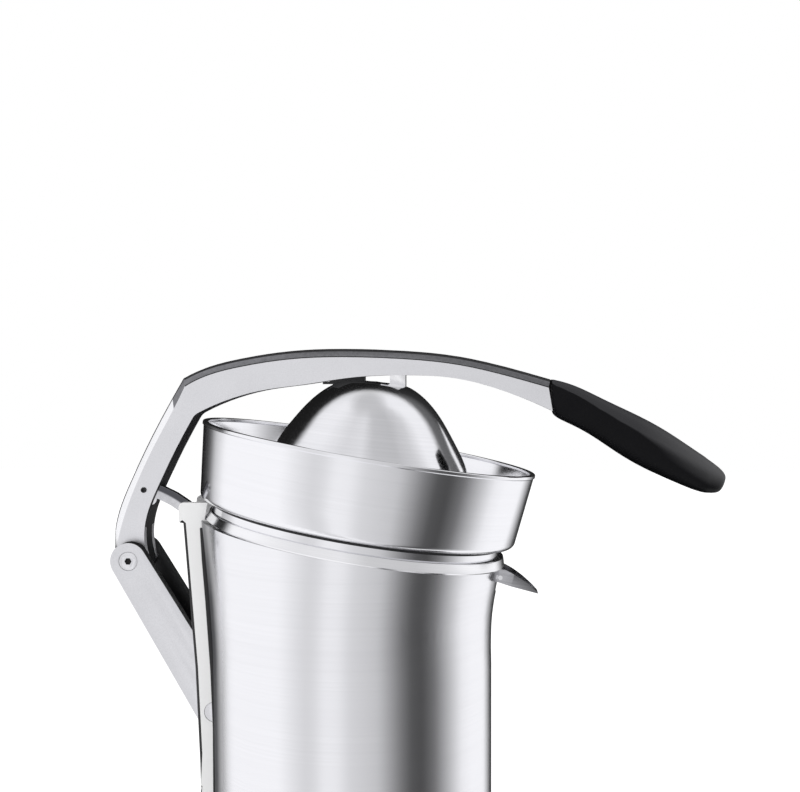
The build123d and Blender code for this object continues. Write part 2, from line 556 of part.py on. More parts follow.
def arm_face(depth, corner_r):
    """Side view of the arm, its back edge drawn in by a depth that fades out at the elbow pin."""
    top, leg = shifted(arm_top, -depth), shifted(arm_leg, -depth)
    corner = along(elbow_corner, (ELBOW[0] + 60, EYE[1] + 8), depth * 1.06)
    top[-1] = leg[0] = corner
    leg[-1] = arm_back
    round_end = ThreePointArc(arm_back, (ELBOW[0], ELBOW[1] - ARM_END_R), arm_inside)
    curves = [Spline(*top), Spline(*leg), round_end, Spline(*arm_inner_leg), Spline(*arm_under),
              Line(arm_front_low, top[0])]
    face = make_face([c.edge() for c in curves])
    for spot, radius in ((inner_corner, 9.0), (corner, corner_r)):
        face = fillet(face.vertices().sort_by_distance((*spot, 0))[0], radius)
    return Plane.XZ * face


arm_view = arm_face(0.0, 3.0)
arm_cheek = arm_face(BEVEL_SIDE, 1.0)
flat_half = ARM_HALF - BEVEL_TOP
press_arm = slab(arm_view, -flat_half, flat_half)
for way in (-1, 1):
    edges = [Pos(0, way * flat_half, 0) * arm_view, Pos(0, way * ARM_HALF, 0) * arm_cheek]
    press_arm += loft(edges, ruled=True)

channel_top = along(EYE, ELBOW, -STRUT_DEPTH / 2 - 3.0)
back_wall = [p for p in shifted(arm_leg, -4.5) if p[1] < channel_top[1]]
channel_foot = ELBOW[1] - 5
channel = outline([(back_wall[0][0] - 3.0, channel_top[1]), (back_wall[0][0] + 40, channel_top[1] + 6.0),
                   (arm_inside[0] + 40, channel_foot), (arm_back[0] + 4.5, channel_foot)] + back_wall[::-1])
press_arm -= slab(channel, -CHANNEL_HALF, CHANNEL_HALF)
press_arm -= cross_pin(ELBOW, ARM_END_R + 4.0, -CHANNEL_HALF, CHANNEL_HALF)
slot_a, slot_b = along(EYE, ELBOW, -0.1), along(EYE, ELBOW, slot_run + 0.1)
press_arm -= slab(bar_outline(slot_a, slot_b, slot_half, slot_half), -ARM_HALF + 2.0, ARM_HALF - 2.0)
press_arm -= cross_pin(ELBOW, PIN_R + RUN, -ARM_HALF - 1, ARM_HALF + 1)
press_arm -= both(Plane.XZ * (Pos(*EYE) * Circle(2.3)), ARM_HALF - 0.4, ARM_HALF + 1)
press_arm -= both(Plane.XZ * (Pos(*EYE) * Circle(1.3)), ARM_HALF - 1.4, ARM_HALF + 1)

# ------------------------------------------------------------------------------- grip
grip_upper = [(118.3, 373.9), (146.1, 363.9), (170.8, 352.1), (195.5, 338.5), (213.9, 326.1), (226.1, 317.4),
              (231.6, 311.4)]
grip_lower = [(119.6, 353.1), (133.8, 343.3), (156.0, 329.8), (180.6, 315.2), (202.0, 305.6), (216.6, 300.6),
              (227.2, 300.4)]
grip_half = [12.2, 14.0, 15.4, 15.6, 14.2, 11.6, 7.0]
grip_round = [4.5, 8.0, 11.5, 12.5, 10.8, 8.6, 5.0]


def cross_section(a, b, half, corner):
    """Rounded section across the grip between an upper and a lower side view point."""
    n = hypot(a[0] - b[0], a[1] - b[1])
    plane = Plane(origin=((a[0] + b[0]) / 2, 0, (a[1] + b[1]) / 2), x_dir=(0, 1, 0),
                  z_dir=((a[1] - b[1]) / n, 0, -(a[0] - b[0]) / n))
    return plane * RectangleRounded(2 * half, n, min(corner, n / 2 - 0.2, half - 0.2))


grip_sections = [cross_section(*v) for v in zip(grip_upper, grip_lower, grip_half, grip_round)]
handle_grip = loft(grip_sections)
root = ((arm_front_top[0] + arm_front_low[0]) / 2, (arm_front_top[1] + arm_front_low[1]) / 2)
mid2 = ((grip_upper[1][0] + grip_lower[1][0]) / 2, (grip_upper[1][1] + grip_lower[1][1]) / 2)
tang = outline([along(root, mid2, -6, -TANG_D / 2), along(root, mid2, TANG_LEN, -TANG_D / 2),
                along(root, mid2, TANG_LEN, TANG_D / 2), along(root, mid2, -6, TANG_D / 2)])
room = TANG_D / 2 + GRIP_CLEAR
tang_room = outline([along(root, mid2, -8, -room), along(root, mid2, TANG_LEN + GRIP_CLEAR, -room),
                     along(root, mid2, TANG_LEN + GRIP_CLEAR, room), along(root, mid2, -8, room)])
press_arm += slab(tang, -TANG_W / 2, TANG_W / 2)
handle_grip -= slab(tang_room, -TANG_W / 2 - GRIP_CLEAR, TANG_W / 2 + GRIP_CLEAR)
handle_grip -= slab(outline([(60, 300), (60, 420), arm_front_top, arm_front_low]), -40, 40)
handle_grip -= slab(arm_view, -ARM_HALF - 1, ARM_HALF + 1)
screw_spot = along(root, mid2, 21.0)
screw_way = bearing(root, mid2)


def at_grip(shape):
    return Pos(screw_spot[0], 0, screw_spot[1]) * Rot(0, -screw_way, 0) * shape


grip_screw = at_grip(rod(1.8, 5.0, -9.5) + rod(3.6, -9.5, -11.5))
press_arm -= at_grip(rod(1.8 + RUN, 5.2, -12))
handle_grip -= at_grip(rod(1.8 + RUN, 0, -12) + rod(3.6 + 0.1, -9.45, -30))

# ------------------------------------------------------------------------------- dome
dome_out = [(0, 42.7), (10.0, 42.4), (19.0, 41.6), (24.0, 40.0), (34.5, 33.2), (44.4, 23.0), (52.5, 11.8),
            (59.9, 0.5), (65.1, -8.6), (69.4, -20.5)]


def dome_solid(points):
    """Crown and flank of the dome as one closed revolved body."""
    crown = Spline(*points[:4])
    flank = Spline(*points[3:])
    rest = Polyline(points[-1], (0, points[-1][1]), points[0])
    return revolve(Plane.XZ * make_face([crown.edge(), flank.edge()] + list(rest.edges())), Axis.Z)


def below(points, drop):
    """The same profile carried on a little further down along its last leg."""
    (r0, h0), (r1, h1) = points[-2], points[-1]
    t = drop / (h0 - h1)
    return points[:-1] + [(r1 + (r1 - r0) * t, h1 - drop)]


dome_shell = dome_solid(dome_out) - dome_solid(below(inset(dome_out, DOME_WALL), 1.0))
liner_out = inset(dome_out, DOME_WALL + LINER_GAP)
liner_in = inset(dome_out, DOME_WALL + LINER_GAP + LINER_T)
liner_floor = dome_out[-1][1] + 0.5
dome_liner = dome_solid(liner_out) - dome_solid(below(liner_in, 2.0))
rib_zone = dome_solid(inset(dome_out, DOME_WALL + LINER_GAP + LINER_T - 0.3)) \
    - dome_solid(below(inset(dome_out, DOME_WALL + LINER_GAP + LINER_T + RIB_RISE), 2.0))
ribs = around(RIB_COUNT, block(14, 80, -RIB_T / 2, RIB_T / 2, -40, 60), 180.0 / RIB_COUNT)
dome_liner += [rib_zone & r for r in ribs]
dome_liner -= rod(90, liner_floor, liner_floor - 20)
dome_full = lean(dome_solid(dome_out), DOME_TILT)
mount_top, mount_low = 381.5, 355.0
mount_rear, mount_front = -26.0, 25.0
bridge = mount_top - 3.5
mount_view = outline([
    (mount_rear, mount_top), (mount_front, mount_top), (mount_front, bridge),
    (23.8, bridge), (23.8, mount_low),
    (13.6, mount_low), (13.6, bridge), (-3.2, bridge), (-3.2, mount_low), (-24.0, mount_low), (-24.0, 370.6),
    (-30.5, 370.6), (-30.5, 371.9), (mount_rear, 372.4)])
dome_mount = slab(mount_view, -MOUNT_HALF, MOUNT_HALF) - dome_full
mount_room = MOUNT_HALF + SEAT
press_arm -= block(mount_rear - SEAT, mount_front + SEAT, -mount_room, mount_room, 340, mount_top + 0.05)
dome_mount = dome_mount.solids().sort_by(SortBy.VOLUME)[-1]
dome_screws = []
for x in MOUNT_SCREWS:
    seat_z = RIM_Z + MOUNT_SEAT
    spot = Pos(x, 0, seat_z)
    dome_screws.append(spot * (rod(1.8, 17, 0) + rod(3.4, 0, -1.6)))
    dome_mount -= spot * rod(1.8 + RUN, 18, -3)
    press_arm -= spot * rod(1.8 + RUN, 18, -3)
dome_screws = Part() + dome_screws

# ------------------------------------------------------------------------------- cone and shaft
cone_out = [(0, 20.0), (5.0, 19.2), (12.0, 16.2), (19.0, 11.0), (26.0, 4.0), (38.0, -14.0), (45.0, -34.0),
            (46.0, -41.0)]


def cone_solid(points):
    curve = Spline(*points)
    rest = Polyline(points[-1], (0, points[-1][1]), points[0])
    return revolve(Plane.XZ * make_face([curve.edge()] + list(rest.edges())), Axis.Z)


cone_in = cone_solid(below(inset(cone_out, CONE_WALL), 1.0))
pressing_cone = cone_solid(cone_out) - cone_in
fin_zone = cone_solid(inset(cone_out, -FIN_RISE)) - cone_solid(inset(cone_out, 0.5))
fins = around(FIN_COUNT, block(6, 60, -FIN_T / 2, FIN_T / 2, cone_out[-1][1], 40), 45.0)
pressing_cone += [fin_zone & f for f in fins]
hex_room = HEX_AF / 2 + RUN


def hex_rod(flats, top, bottom):
    return Pos(0, 0, bottom) * extrude(RegularPolygon(flats / 2, 6, major_radius=False), top - bottom)


hub_zone = cone_solid(below(inset(cone_out, CONE_WALL + 0.05), 1.0))
cone_hub = (rod(8.0, 30, -HUB_FOOT) & hub_zone) + [rod(11.0, 8 - HUB_FOOT, -HUB_FOOT)]
cone_hub += [hub_zone & b for b in around(4, block(6, 60, -1.2, 1.2, -HUB_FOOT, 26 - HUB_FOOT))]
cone_hub -= hex_rod(2 * hex_room, -SHAFT_TOP + 0.2, -HUB_FOOT - 1)
hex_top = gear_a + 3.0
hex_foot = box_floor + 1.0
drive_shaft = hex_rod(HEX_AF, -SHAFT_TOP, -HUB_FOOT) + rod(SHAFT_R, -HUB_FOOT, hex_top)
drive_shaft += hex_rod(HEX_AF, hex_top, hex_foot) + rod(3.0, hex_foot, shaft_end)
collar_top = bush_foot - SEAT
shaft_collar = ring(7.2, SHAFT_R + 0.02, collar_top, collar_top - 2.0)
spring_top, spring_foot = collar_top - 2.1, gear_a
coil = Helix(pitch=(spring_top - spring_foot - 1.0) / 4, height=spring_top - spring_foot - 1.0, radius=6.2)
shaft_spring = sweep(Plane(origin=coil @ 0, z_dir=coil % 0) * RegularPolygon(0.4, 5), coil)
shaft_spring = Pos(0, 0, spring_foot + 0.5) * shaft_spring

# ------------------------------------------------------------------------------- deck
deck_r = COLLAR_R - 9.6
motor_deck = ring(deck_r, BUSH_R, deck_top, deck_top - DECK_T)
motor_deck += ring(BUSH_R + 4, BUSH_R, deck_top - 1, bush_foot)
motor_deck += ring(deck_r, deck_r - 2.5, collar_foot + 0.3, deck_top - 1)
motor_deck += [Pos(x, y, 0) * rod(4.0, deck_top - 1, lid_top) for x, y in POSTS]
for x, y in POSTS:
    motor_deck -= Pos(x, y, 0) * rod(SCREW_R + RUN, deck_top + 1, lid_top - 1)
motor_deck -= block(TUB_R - 24, COLLAR_R + 21, -gap_half, gap_half, deck_top, collar_foot + 12)
shaft_bush = ring(BUSH_R - 0.02, SHAFT_R + RUN, deck_top, bush_foot)
shaft_seal = turned([(SHAFT_R + RUN, deck_top + 0.05), (BUSH_R, deck_top + 0.05), (BUSH_R, deck_top + 3.0),
                     (SHAFT_R + 1.4, deck_top + 4.0), (SHAFT_R + RUN, deck_top + 4.0)])

# ------------------------------------------------------------------------------- gear train
reach = MODULE * (TEETH_OUT + TEETH_PINION) / 2
reach_motor = MODULE * (TEETH_WHEEL + TEETH_MOTOR) / 2
idler_x = (reach ** 2 - reach_motor ** 2 + MOTOR_X ** 2) / (2 * MOTOR_X)
IDLER = (idler_x, sqrt(reach ** 2 - idler_x ** 2))


def gear(teeth, shift, top, width, start, backlash=0.36):
    """Spur gear with a tooth centred at the start angle; flank points lie on the involute."""
    pitch = MODULE * teeth / 2
    base = pitch * cos(radians(20))
    tip = pitch + MODULE * (0.92 + shift)
    foot = pitch - MODULE * (1.25 - shift)
    half = (MODULE * (pi / 2 + 2 * shift * tan(radians(20))) - backlash) / 2 / pitch
    inv = tan(radians(20)) - radians(20)
    radii = [max(foot, base + 0.02), tip] if teeth > 30 else [max(foot, base + 0.02), (pitch + tip) / 2, tip]
    flank = []
    for r in radii:
        a = acos(min(1.0, base / r))
        flank.append((r, half + inv - (tan(a) - a)))
    if foot < base:
        flank = [(foot, flank[0][1])] + flank
    points = []
    for i in range(teeth):
        mid = radians(start) + 2 * pi * i / teeth
        points += [(r * cos(mid - w), r * sin(mid - w)) for r, w in flank]
        points += [(r * cos(mid + w), r * sin(mid + w)) for r, w in flank[::-1]]
    return Pos(0, 0, top - width) * extrude(make_face(Polyline(*points, close=True)), width)


to_idler = degrees(atan2(IDLER[1], IDLER[0]))
to_motor = degrees(atan2(-IDLER[1], MOTOR_X - IDLER[0]))
output_gear = gear(TEETH_OUT, -0.2, gear_a, GEAR_A_W, to_idler)
output_gear += rod(HUB_R, lid_top - 0.3, box_foot + 0.5)
output_gear -= hex_rod(2 * hex_room, lid_top + 4, box_foot - 4)
output_gear -= rod(7.6, lid_top + 4, spring_foot)
output_gear -= around(6, Pos(19.5, 0, gear_a - GEAR_A_W - 1) * Cylinder(4.5, 12, align=CENTRE3))
pinion_start = to_idler + 180 + 180 / TEETH_PINION
idler_top = gear_a + 0.5
idler_gear = gear(TEETH_PINION, 0.2, idler_top, idler_top - gear_b + 0.1, pinion_start)
idler_gear += gear(TEETH_WHEEL, -0.35, gear_b, GEAR_B_W, to_motor)
idler_gear -= rod(AXLE_R + RUN, lid_top, box_foot)
idler_gear = Pos(*IDLER, 0) * idler_gear
idler_axle = Pos(*IDLER, 0) * rod(AXLE_R, lid_top - 0.2, box_floor - 2.5)
motor_pinion = gear(TEETH_MOTOR, 0.35, gear_b + 0.3, GEAR_B_W + 0.3, to_motor + 180 + 180 / TEETH_MOTOR)
motor_pinion = Pos(MOTOR_X, 0, 0) * (motor_pinion - rod(MOTOR_SHAFT_R + 0.02, lid_top, box_foot))


def box_plan(grow):
    out = Circle(MODULE * TEETH_OUT / 2 + 2.5 + grow)
    mid = Pos(*IDLER) * Circle(MODULE * TEETH_WHEEL / 2 + 2.5 + grow)
    end = Pos(MOTOR_X, 0) * Circle(MODULE * TEETH_MOTOR / 2 + 3.5 + grow)
    return make_hull(out.edges() + mid.edges() + end.edges())


def prism(plan, top, bottom):
    return Pos(0, 0, bottom) * extrude(plan, top - bottom)


lid_foot = lid_top - LID_T
gearbox_lid = prism(box_plan(BOX_WALL), lid_top, lid_foot) - rod(HUB_R + RUN, lid_top + 1, lid_foot - 1)
gearbox_lid -= Pos(*IDLER, 0) * rod(AXLE_R + 0.02, lid_top + 1, lid_foot - 1)
gearbox_housing = prism(box_plan(BOX_WALL), lid_foot, box_foot)
gearbox_housing -= prism(box_plan(0.0), lid_foot + 1, box_floor)
gearbox_housing -= rod(HUB_R + RUN, lid_foot, box_foot - 1)
gearbox_housing -= Pos(*IDLER, 0) * rod(AXLE_R + 0.02, lid_foot, box_floor - 3.0)
gearbox_housing -= Pos(MOTOR_X, 0, 0) * rod(MOTOR_SHAFT_R + 1.5, lid_foot, box_foot - 1)
for x, y in POSTS:
    gearbox_lid -= Pos(x, y, 0) * rod(SCREW_R - RUN, lid_top + 1, lid_foot - 1)
gearbox_screws = Part() + [Pos(x, y, 0) * (rod(SCREW_R - RUN - 0.02, deck_top, lid_foot)
                           + rod(3.0, deck_top + 1.8, deck_top)) for x, y in POSTS]

# ------------------------------------------------------------------------------- motor
cap_top = box_foot - 0.2
cap_foot = cap_top - 4.0
can_foot = cap_foot - MOTOR_LEN
bearing_r = 9.0
stack_top, stack_foot = cap_foot - 14.0, cap_foot - 54.0
motor_cap = ring(MOTOR_R, bearing_r, cap_top, cap_foot)
motor_can = ring(MOTOR_R, MOTOR_R - 2.0, cap_foot - 0.05, can_foot)
motor_can += ring(MOTOR_R - 1, bearing_r, can_foot + 4, can_foot)
motor_can -= around(8, block(15, 28, -2.5, 2.5, can_foot - 1, can_foot + 5))
bearing = ring(bearing_r - 0.02, MOTOR_SHAFT_R + RUN, 0, -4.0)
motor_bearings = Part() + [Pos(0, 0, cap_top) * bearing, Pos(0, 0, can_foot + 4.0) * bearing]
motor_shaft = rod(MOTOR_SHAFT_R, gear_b + 0.2, can_foot + 1.0)
rotor_core = ring(ROTOR_R, MOTOR_SHAFT_R + 0.02, stack_top, stack_foot)
stator_core = ring(MOTOR_R - 2.05, ROTOR_R + STATOR_GAP, stack_top, stack_foot)
coil_ring = ring(MOTOR_R - 4.0, ROTOR_R + 2.0, 6.0, 0.0)
stator_coils = Part() + [Pos(0, 0, stack_top + 0.05) * coil_ring, Pos(0, 0, stack_foot - 6.05) * coil_ring]
motor_nodes = [motor_cap, motor_can, motor_bearings, motor_shaft, rotor_core, stator_core, stator_coils]
motor_cap, motor_can, motor_bearings, motor_shaft, rotor_core, stator_core, stator_coils = [
    Pos(MOTOR_X, 0, 0) * m for m in motor_nodes]
motor_spots = [(MOTOR_X + 15 * cos(radians(a)), 15 * sin(radians(a))) for a in (75, 180, 285)]
motor_screws = []
for x, y in motor_spots:
    seat = box_floor - 1.9
    motor_screws.append(Pos(x, y, 0) * (rod(SCREW_R, seat, cap_foot) + rod(2.6, box_floor, seat)))
    gearbox_housing -= Pos(x, y, 0) * rod(SCREW_R + RUN, box_floor + 1, box_foot - 1)
    gearbox_housing -= Pos(x, y, 0) * rod(2.6 + RUN, box_floor + 1, seat)
    motor_cap -= Pos(x, y, 0) * rod(SCREW_R + 0.02, cap_top + 1, cap_foot - 1)
motor_screws = Part() + motor_screws

# ------------------------------------------------------------------------------- switches
plunger_top = shaft_end - 0.4
plunger_foot = plunger_top - 9.0
switch_top = plunger_top - 3.6
cone_plunger = rod(1.8, plunger_top, plunger_foot)
cone_switch = block(-22, 4, -5, 5, switch_top - 17, switch_top)
cone_switch += block(-22, -12, -5, 5, switch_top - 0.5, box_foot - 0.05)
cone_switch -= rod(1.8 + RUN, box_foot, plunger_foot - PRESS_TRAVEL - 0.6)
heel_edge = heel_at[0] + HEEL_R
plunger_z = heel_at[1]
plunger_y = (ear_in + EAR_OUT) / 2
arm_plunger = Pos(heel_edge + 0.35, plunger_y, plunger_z) * Rot(0, 90, 0) * rod(2.5, 12.0, 0)
plunger_x = heel_edge + 0.35


def web_face(z):
    """Rear face of the spine's web at a height."""
    if z <= web_low[1]:
        return web_low[0]
    return web_low[0] + (web_high[0] - web_low[0]) * (z - web_low[1]) / (web_high[1] - web_low[1])


switch_x = web_low[0] + WEB_T + 0.05
arm_switch = block(switch_x, switch_x + 16, plunger_y - 6, plunger_y + 6, plunger_z - 16, plunger_z + 4)
arm_switch -= Pos(switch_x - 1, plunger_y, plunger_z) * Rot(0, 90, 0) * rod(2.5 + RUN, 12.5, 0)
spine_casting -= block(web_low[0] - 12, switch_x, ear_in - 0.8, rail_in, plunger_z - 5, plunger_z + 14)

# ------------------------------------------------------------------------------- the press
deck_notch = web_high[0] + WEB_T + 3
motor_deck = lean(motor_deck) - block(-140, deck_notch, -RAIL_OUT - SEAT, RAIL_OUT + SEAT, 200, RIM_Z)
leaning = {
    "juice_bowl": juice_bowl, "bowl_gasket": bowl_gasket, "collar_ring": collar_ring,
    "filter_basket": filter_basket, "juice_tub": juice_tub, "drip_stop": drip_stop, "spout_pins": spout_pins,
    "pressing_cone": pressing_cone, "cone_hub": cone_hub, "drive_shaft": drive_shaft,
    "shaft_collar": shaft_collar, "shaft_spring": shaft_spring, "shaft_bush": shaft_bush,
    "shaft_seal": shaft_seal, "output_gear": output_gear, "idler_gear": idler_gear, "idler_axle": idler_axle,
    "motor_pinion": motor_pinion, "gearbox_lid": gearbox_lid, "gearbox_housing": gearbox_housing,
    "gearbox_screws": gearbox_screws, "motor_cap": motor_cap, "motor_can": motor_can,
    "motor_bearings": motor_bearings, "motor_shaft": motor_shaft, "rotor_core": rotor_core,
    "stator_core": stator_core, "stator_coils": stator_coils, "motor_screws": motor_screws,
    "cone_switch": cone_switch, "cone_switch_plunger": cone_plunger}
pieces = {name: lean(shape) for name, shape in leaning.items()}
for name, shape in (("dome_shell", dome_shell), ("dome_liner", dome_liner)):
    pieces[name] = lean(shape, DOME_TILT)
for x in MOUNT_SCREWS:
    spot = Pos(x, 0, RIM_Z + MOUNT_SEAT)
    pieces["dome_shell"] -= spot * rod(1.8 + RUN, 18, -6)
    pieces["dome_liner"] -= spot * rod(4.4, 12, -30)
pieces.update({
    "body_shell": body_shell, "base_casting": base_casting, "base_plate": base_plate,
    "base_screws": base_screws, "rubber_feet": rubber_feet, "glass_mat": glass_mat,
    "cable_gland": cable_gland,
    "control_board": control_board, "spine_casting": spine_casting, "spine_screws": spine_screws,
    "lower_link": lower_link, "elbow_pins": elbow_pins, "link_foot_pin": foot_pin, "upper_link": strut,
    "strut_foot_pin": strut_foot_pin, "strut_eye_pin": strut_eye_pin, "press_arm": press_arm,
    "dome_mount": dome_mount, "dome_screws": dome_screws, "handle_grip": handle_grip,
    "grip_screw": grip_screw,
    "motor_deck": motor_deck, "arm_switch": arm_switch, "arm_switch_plunger": arm_plunger})

boxes = [shape.bounding_box() for shape in pieces.values()]
X_SHIFT = -(min(b.min.X for b in boxes) + max(b.max.X for b in boxes)) / 2
os.makedirs("parts", exist_ok=True)
for name, shape in pieces.items():
    export_step(Pos(X_SHIFT, 0, 0) * shape, "parts/" + name + ".step")
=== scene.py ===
import bpy
import json
from math import cos, hypot, pi, radians, sin
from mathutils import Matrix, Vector


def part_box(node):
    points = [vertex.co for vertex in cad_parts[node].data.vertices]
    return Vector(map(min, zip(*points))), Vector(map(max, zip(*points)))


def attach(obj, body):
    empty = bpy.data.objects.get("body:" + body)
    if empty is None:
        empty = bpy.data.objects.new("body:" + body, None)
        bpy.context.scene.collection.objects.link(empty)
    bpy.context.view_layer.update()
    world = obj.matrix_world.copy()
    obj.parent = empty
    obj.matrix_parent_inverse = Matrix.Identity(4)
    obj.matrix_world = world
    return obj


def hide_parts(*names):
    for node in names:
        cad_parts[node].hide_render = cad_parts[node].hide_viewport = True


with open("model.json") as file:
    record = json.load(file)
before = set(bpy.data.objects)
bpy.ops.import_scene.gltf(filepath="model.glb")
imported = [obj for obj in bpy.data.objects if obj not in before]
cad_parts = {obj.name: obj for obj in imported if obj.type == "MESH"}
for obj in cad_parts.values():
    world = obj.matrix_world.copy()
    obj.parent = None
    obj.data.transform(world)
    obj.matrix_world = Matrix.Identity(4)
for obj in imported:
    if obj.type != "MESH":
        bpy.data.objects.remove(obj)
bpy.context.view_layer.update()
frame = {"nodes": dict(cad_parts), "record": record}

nodes = frame["nodes"]

# ---------------------------------------------------------------- the view
# The press is seen from its right side, nearly level, from about three quarters of a metre. The lens and
# the place are those at which the rim's ellipse, the collar and the lever's outline all fit the real press.
RIM_HEIGHT = 0.330
EYE_FROM_RIM = Vector((0.06655, -0.75887, 0.04256))
EYE_LOOKS = Vector((-0.06104, 0.99805, -0.01282))
rim_x = sum(corner[0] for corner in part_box("juice_bowl")) / 2 + 0.0007
rim_mid = Vector((rim_x, 0.0, RIM_HEIGHT))
lens = bpy.data.cameras.new("side_view")
lens.sensor_width = 36.0
lens.lens = 51.98
lens.clip_start = 0.05
side_view = bpy.data.objects.new("side_view", lens)
bpy.context.scene.collection.objects.link(side_view)
side_view.rotation_euler = EYE_LOOKS.to_track_quat("-Z", "Y").to_euler()
side_view.location = rim_mid + EYE_FROM_RIM
bpy.context.scene.camera = side_view
bpy.context.scene.view_settings.view_transform = "Standard"

# ---------------------------------------------------------------- the studio
# A white tent stands all round the press. It is plain for what it lights and white behind the press.
# Polished metal mirrors the tent's cards: a low row, a high row, and black cloth hung behind the press.
tent = bpy.data.worlds.new("white_tent")
bpy.context.scene.world = tent
tent.use_nodes = True
cloth = tent.node_tree
cloth.nodes.clear()


def add(tree, kind, **settings):
    """A node of a tree, with its settings and the values or links of its inputs by name or number."""
    node = tree.nodes.new(kind)
    inputs = settings.pop("inputs", {})
    for name, value in settings.items():
        setattr(node, name, value)
    for name, value in inputs.items():
        if isinstance(value, bpy.types.NodeSocket):
            tree.links.new(value, node.inputs[name])
        else:
            node.inputs[name].default_value = value
    return node


def figure(tree, operation, *values):
    """Result of a Math node on numbers or sockets."""
    return add(tree, "ShaderNodeMath", operation=operation, inputs=dict(enumerate(values))).outputs[0]


def remap(tree, value, ends, to=(0.0, 1.0), step="LINEAR"):
    """A value carried from one pair of ends to another, straight or in a smooth step."""
    ranges = {"Value": value, "From Min": ends[0], "From Max": ends[1], "To Min": to[0], "To Max": to[1]}
    return add(tree, "ShaderNodeMapRange", interpolation_type=step, inputs=ranges).outputs["Result"]


def blend(tree, factor, first, second):
    """A colour that passes from the first to the second as the factor rises."""
    mixed = add(tree, "ShaderNodeMix", data_type="RGBA", inputs={"Factor": factor, "A": first, "B": second})
    return mixed.outputs["Result"]


way = add(cloth, "ShaderNodeTexCoord").outputs["Generated"]
axes = add(cloth, "ShaderNodeSeparateXYZ", inputs={"Vector": way}).outputs
bearing = figure(cloth, "ARCTAN2", axes["X"], figure(cloth, "MULTIPLY", axes["Y"], -1.0))
turn = remap(cloth, bearing, (-pi, pi))


def cards(stops):
    """Grey cards round the tent, from (bearing in degrees, grey): 0 faces the viewer, 90 is on the right."""
    ramp = add(cloth, "ShaderNodeValToRGB", inputs={"Fac": turn})
    elements = ramp.color_ramp.elements
    first, last = stops[0], stops[-1]
    elements[0].color = (first[1], first[1], first[1], 1)
    elements[1].color = (last[1], last[1], last[1], 1)
    for angle, grey in stops[1:-1]:
        elements.new((angle + 180) / 360).color = (grey, grey, grey * 1.02, 1)
    return ramp.outputs["Color"]


def rise(low, high, along=axes["Z"]):
    """How far a direction has risen from one height of the tent to another, or along another measure."""
    return remap(cloth, along, (low, high), step="SMOOTHSTEP")


low_cards = cards([
    (-180, 0.01), (-150, 0.01), (-137, 0.06), (-130, 0.18), (-122, 0.62), (-108, 1.0), (-56, 1.0),
    (-42, 0.82), (-33, 0.72), (-26, 0.76), (-18, 0.92), (-8, 0.90), (2, 0.72), (24, 0.60), (34, 0.38),
    (43, 0.20), (52, 0.09), (62, 0.07), (74, 0.17), (88, 0.50), (104, 0.92), (116, 1.0), (140, 1.0),
    (149, 0.50), (160, 0.05), (180, 0.01)])
high_cards = cards([
    (-180, 0.75), (-120, 0.90), (-98, 0.98), (-77, 0.98), (-33, 0.80), (0, 0.84), (20, 0.62), (56, 0.58),
    (80, 0.72), (98, 1.0), (125, 1.0), (180, 0.75)])
rear_cards = cards([
    (-180, 0.01), (100, 0.02), (114, 0.17), (140, 0.13), (152, 0.03), (180, 0.01)])
gap_cards = cards([
    (-180, 0.01), (100, 0.02), (114, 0.17), (134, 0.13), (140, 0.10), (142, 1.0), (149, 1.0), (151, 0.03),
    (180, 0.01)])
depth = figure(cloth, "MULTIPLY_ADD", axes["X"], -0.10, axes["Y"])
drape = blend(cloth, rise(0.27, 0.31), gap_cards, rear_cards)
upper = blend(cloth, rise(0.28, 0.48, depth), high_cards, drape)
wall = blend(cloth, rise(-0.05, 0.12), low_cards, upper)
roofed = blend(cloth, rise(0.93, 1.0), wall, (0.62, 0.62, 0.63, 1))
mirrored = add(cloth, "ShaderNodeBackground", inputs={"Color": roofed, "Strength": 1.0})
lit = add(cloth, "ShaderNodeBackground", inputs={"Color": (1, 1, 1, 1), "Strength": 0.84})
seen = add(cloth, "ShaderNodeBackground", inputs={"Color": (1, 1, 1, 1), "Strength": 1.0})
rays = add(cloth, "ShaderNodeLightPath").outputs
to_metal = add(cloth, "ShaderNodeMixShader",
               inputs={"Fac": rays["Is Glossy Ray"], 1: lit.outputs[0], 2: mirrored.outputs[0]})
to_eye = add(cloth, "ShaderNodeMixShader",
             inputs={"Fac": rays["Is Camera Ray"], 1: to_metal.outputs[0], 2: seen.outputs[0]})
add(cloth, "ShaderNodeOutputWorld", inputs={"Surface": to_eye.outputs[0]})

# The floor is a white sheet that keeps the press's shadow. Metal mirrors the tent down to below the
# horizon, so the sheet isn't mirrored itself.
bpy.ops.object.select_all(action="DESELECT")
bpy.ops.mesh.primitive_plane_add(size=8.0, location=(0, 0, -0.0005))
floor = bpy.context.object
floor.name = "white_floor"
floor.visible_glossy = False
sheet = bpy.data.materials.new("white_floor")
sheet.use_nodes = True
paper = sheet.node_tree
paint = paper.nodes["Principled BSDF"].inputs
paint["Base Color"].default_value = (0.82, 0.82, 0.82, 1)
paint["Roughness"].default_value = 0.8
paint["Specular IOR Level"].default_value = 0.0
paint["Emission Color"].default_value = (1, 1, 1, 1)
to_camera = add(paper, "ShaderNodeLightPath").outputs["Is Camera Ray"]
paper.links.new(figure(paper, "MULTIPLY", to_camera, 0.5), paint["Emission Strength"])
floor.data.materials.append(sheet)


def lamp(name, spot, target, size, glow):
    """A soft square lamp; its power makes its face as bright as the glow says."""
    light = bpy.data.lights.new(name, "AREA")
    light.shape = "SQUARE"
    light.size = size
    light.energy = pi * size * size * glow
    holder = bpy.data.objects.new(name, light)
    bpy.context.scene.collection.objects.link(holder)
    holder.location = spot
    holder.visible_glossy = False
    holder.rotation_euler = (Vector(target) - Vector(spot)).to_track_quat("-Z", "Y").to_euler()


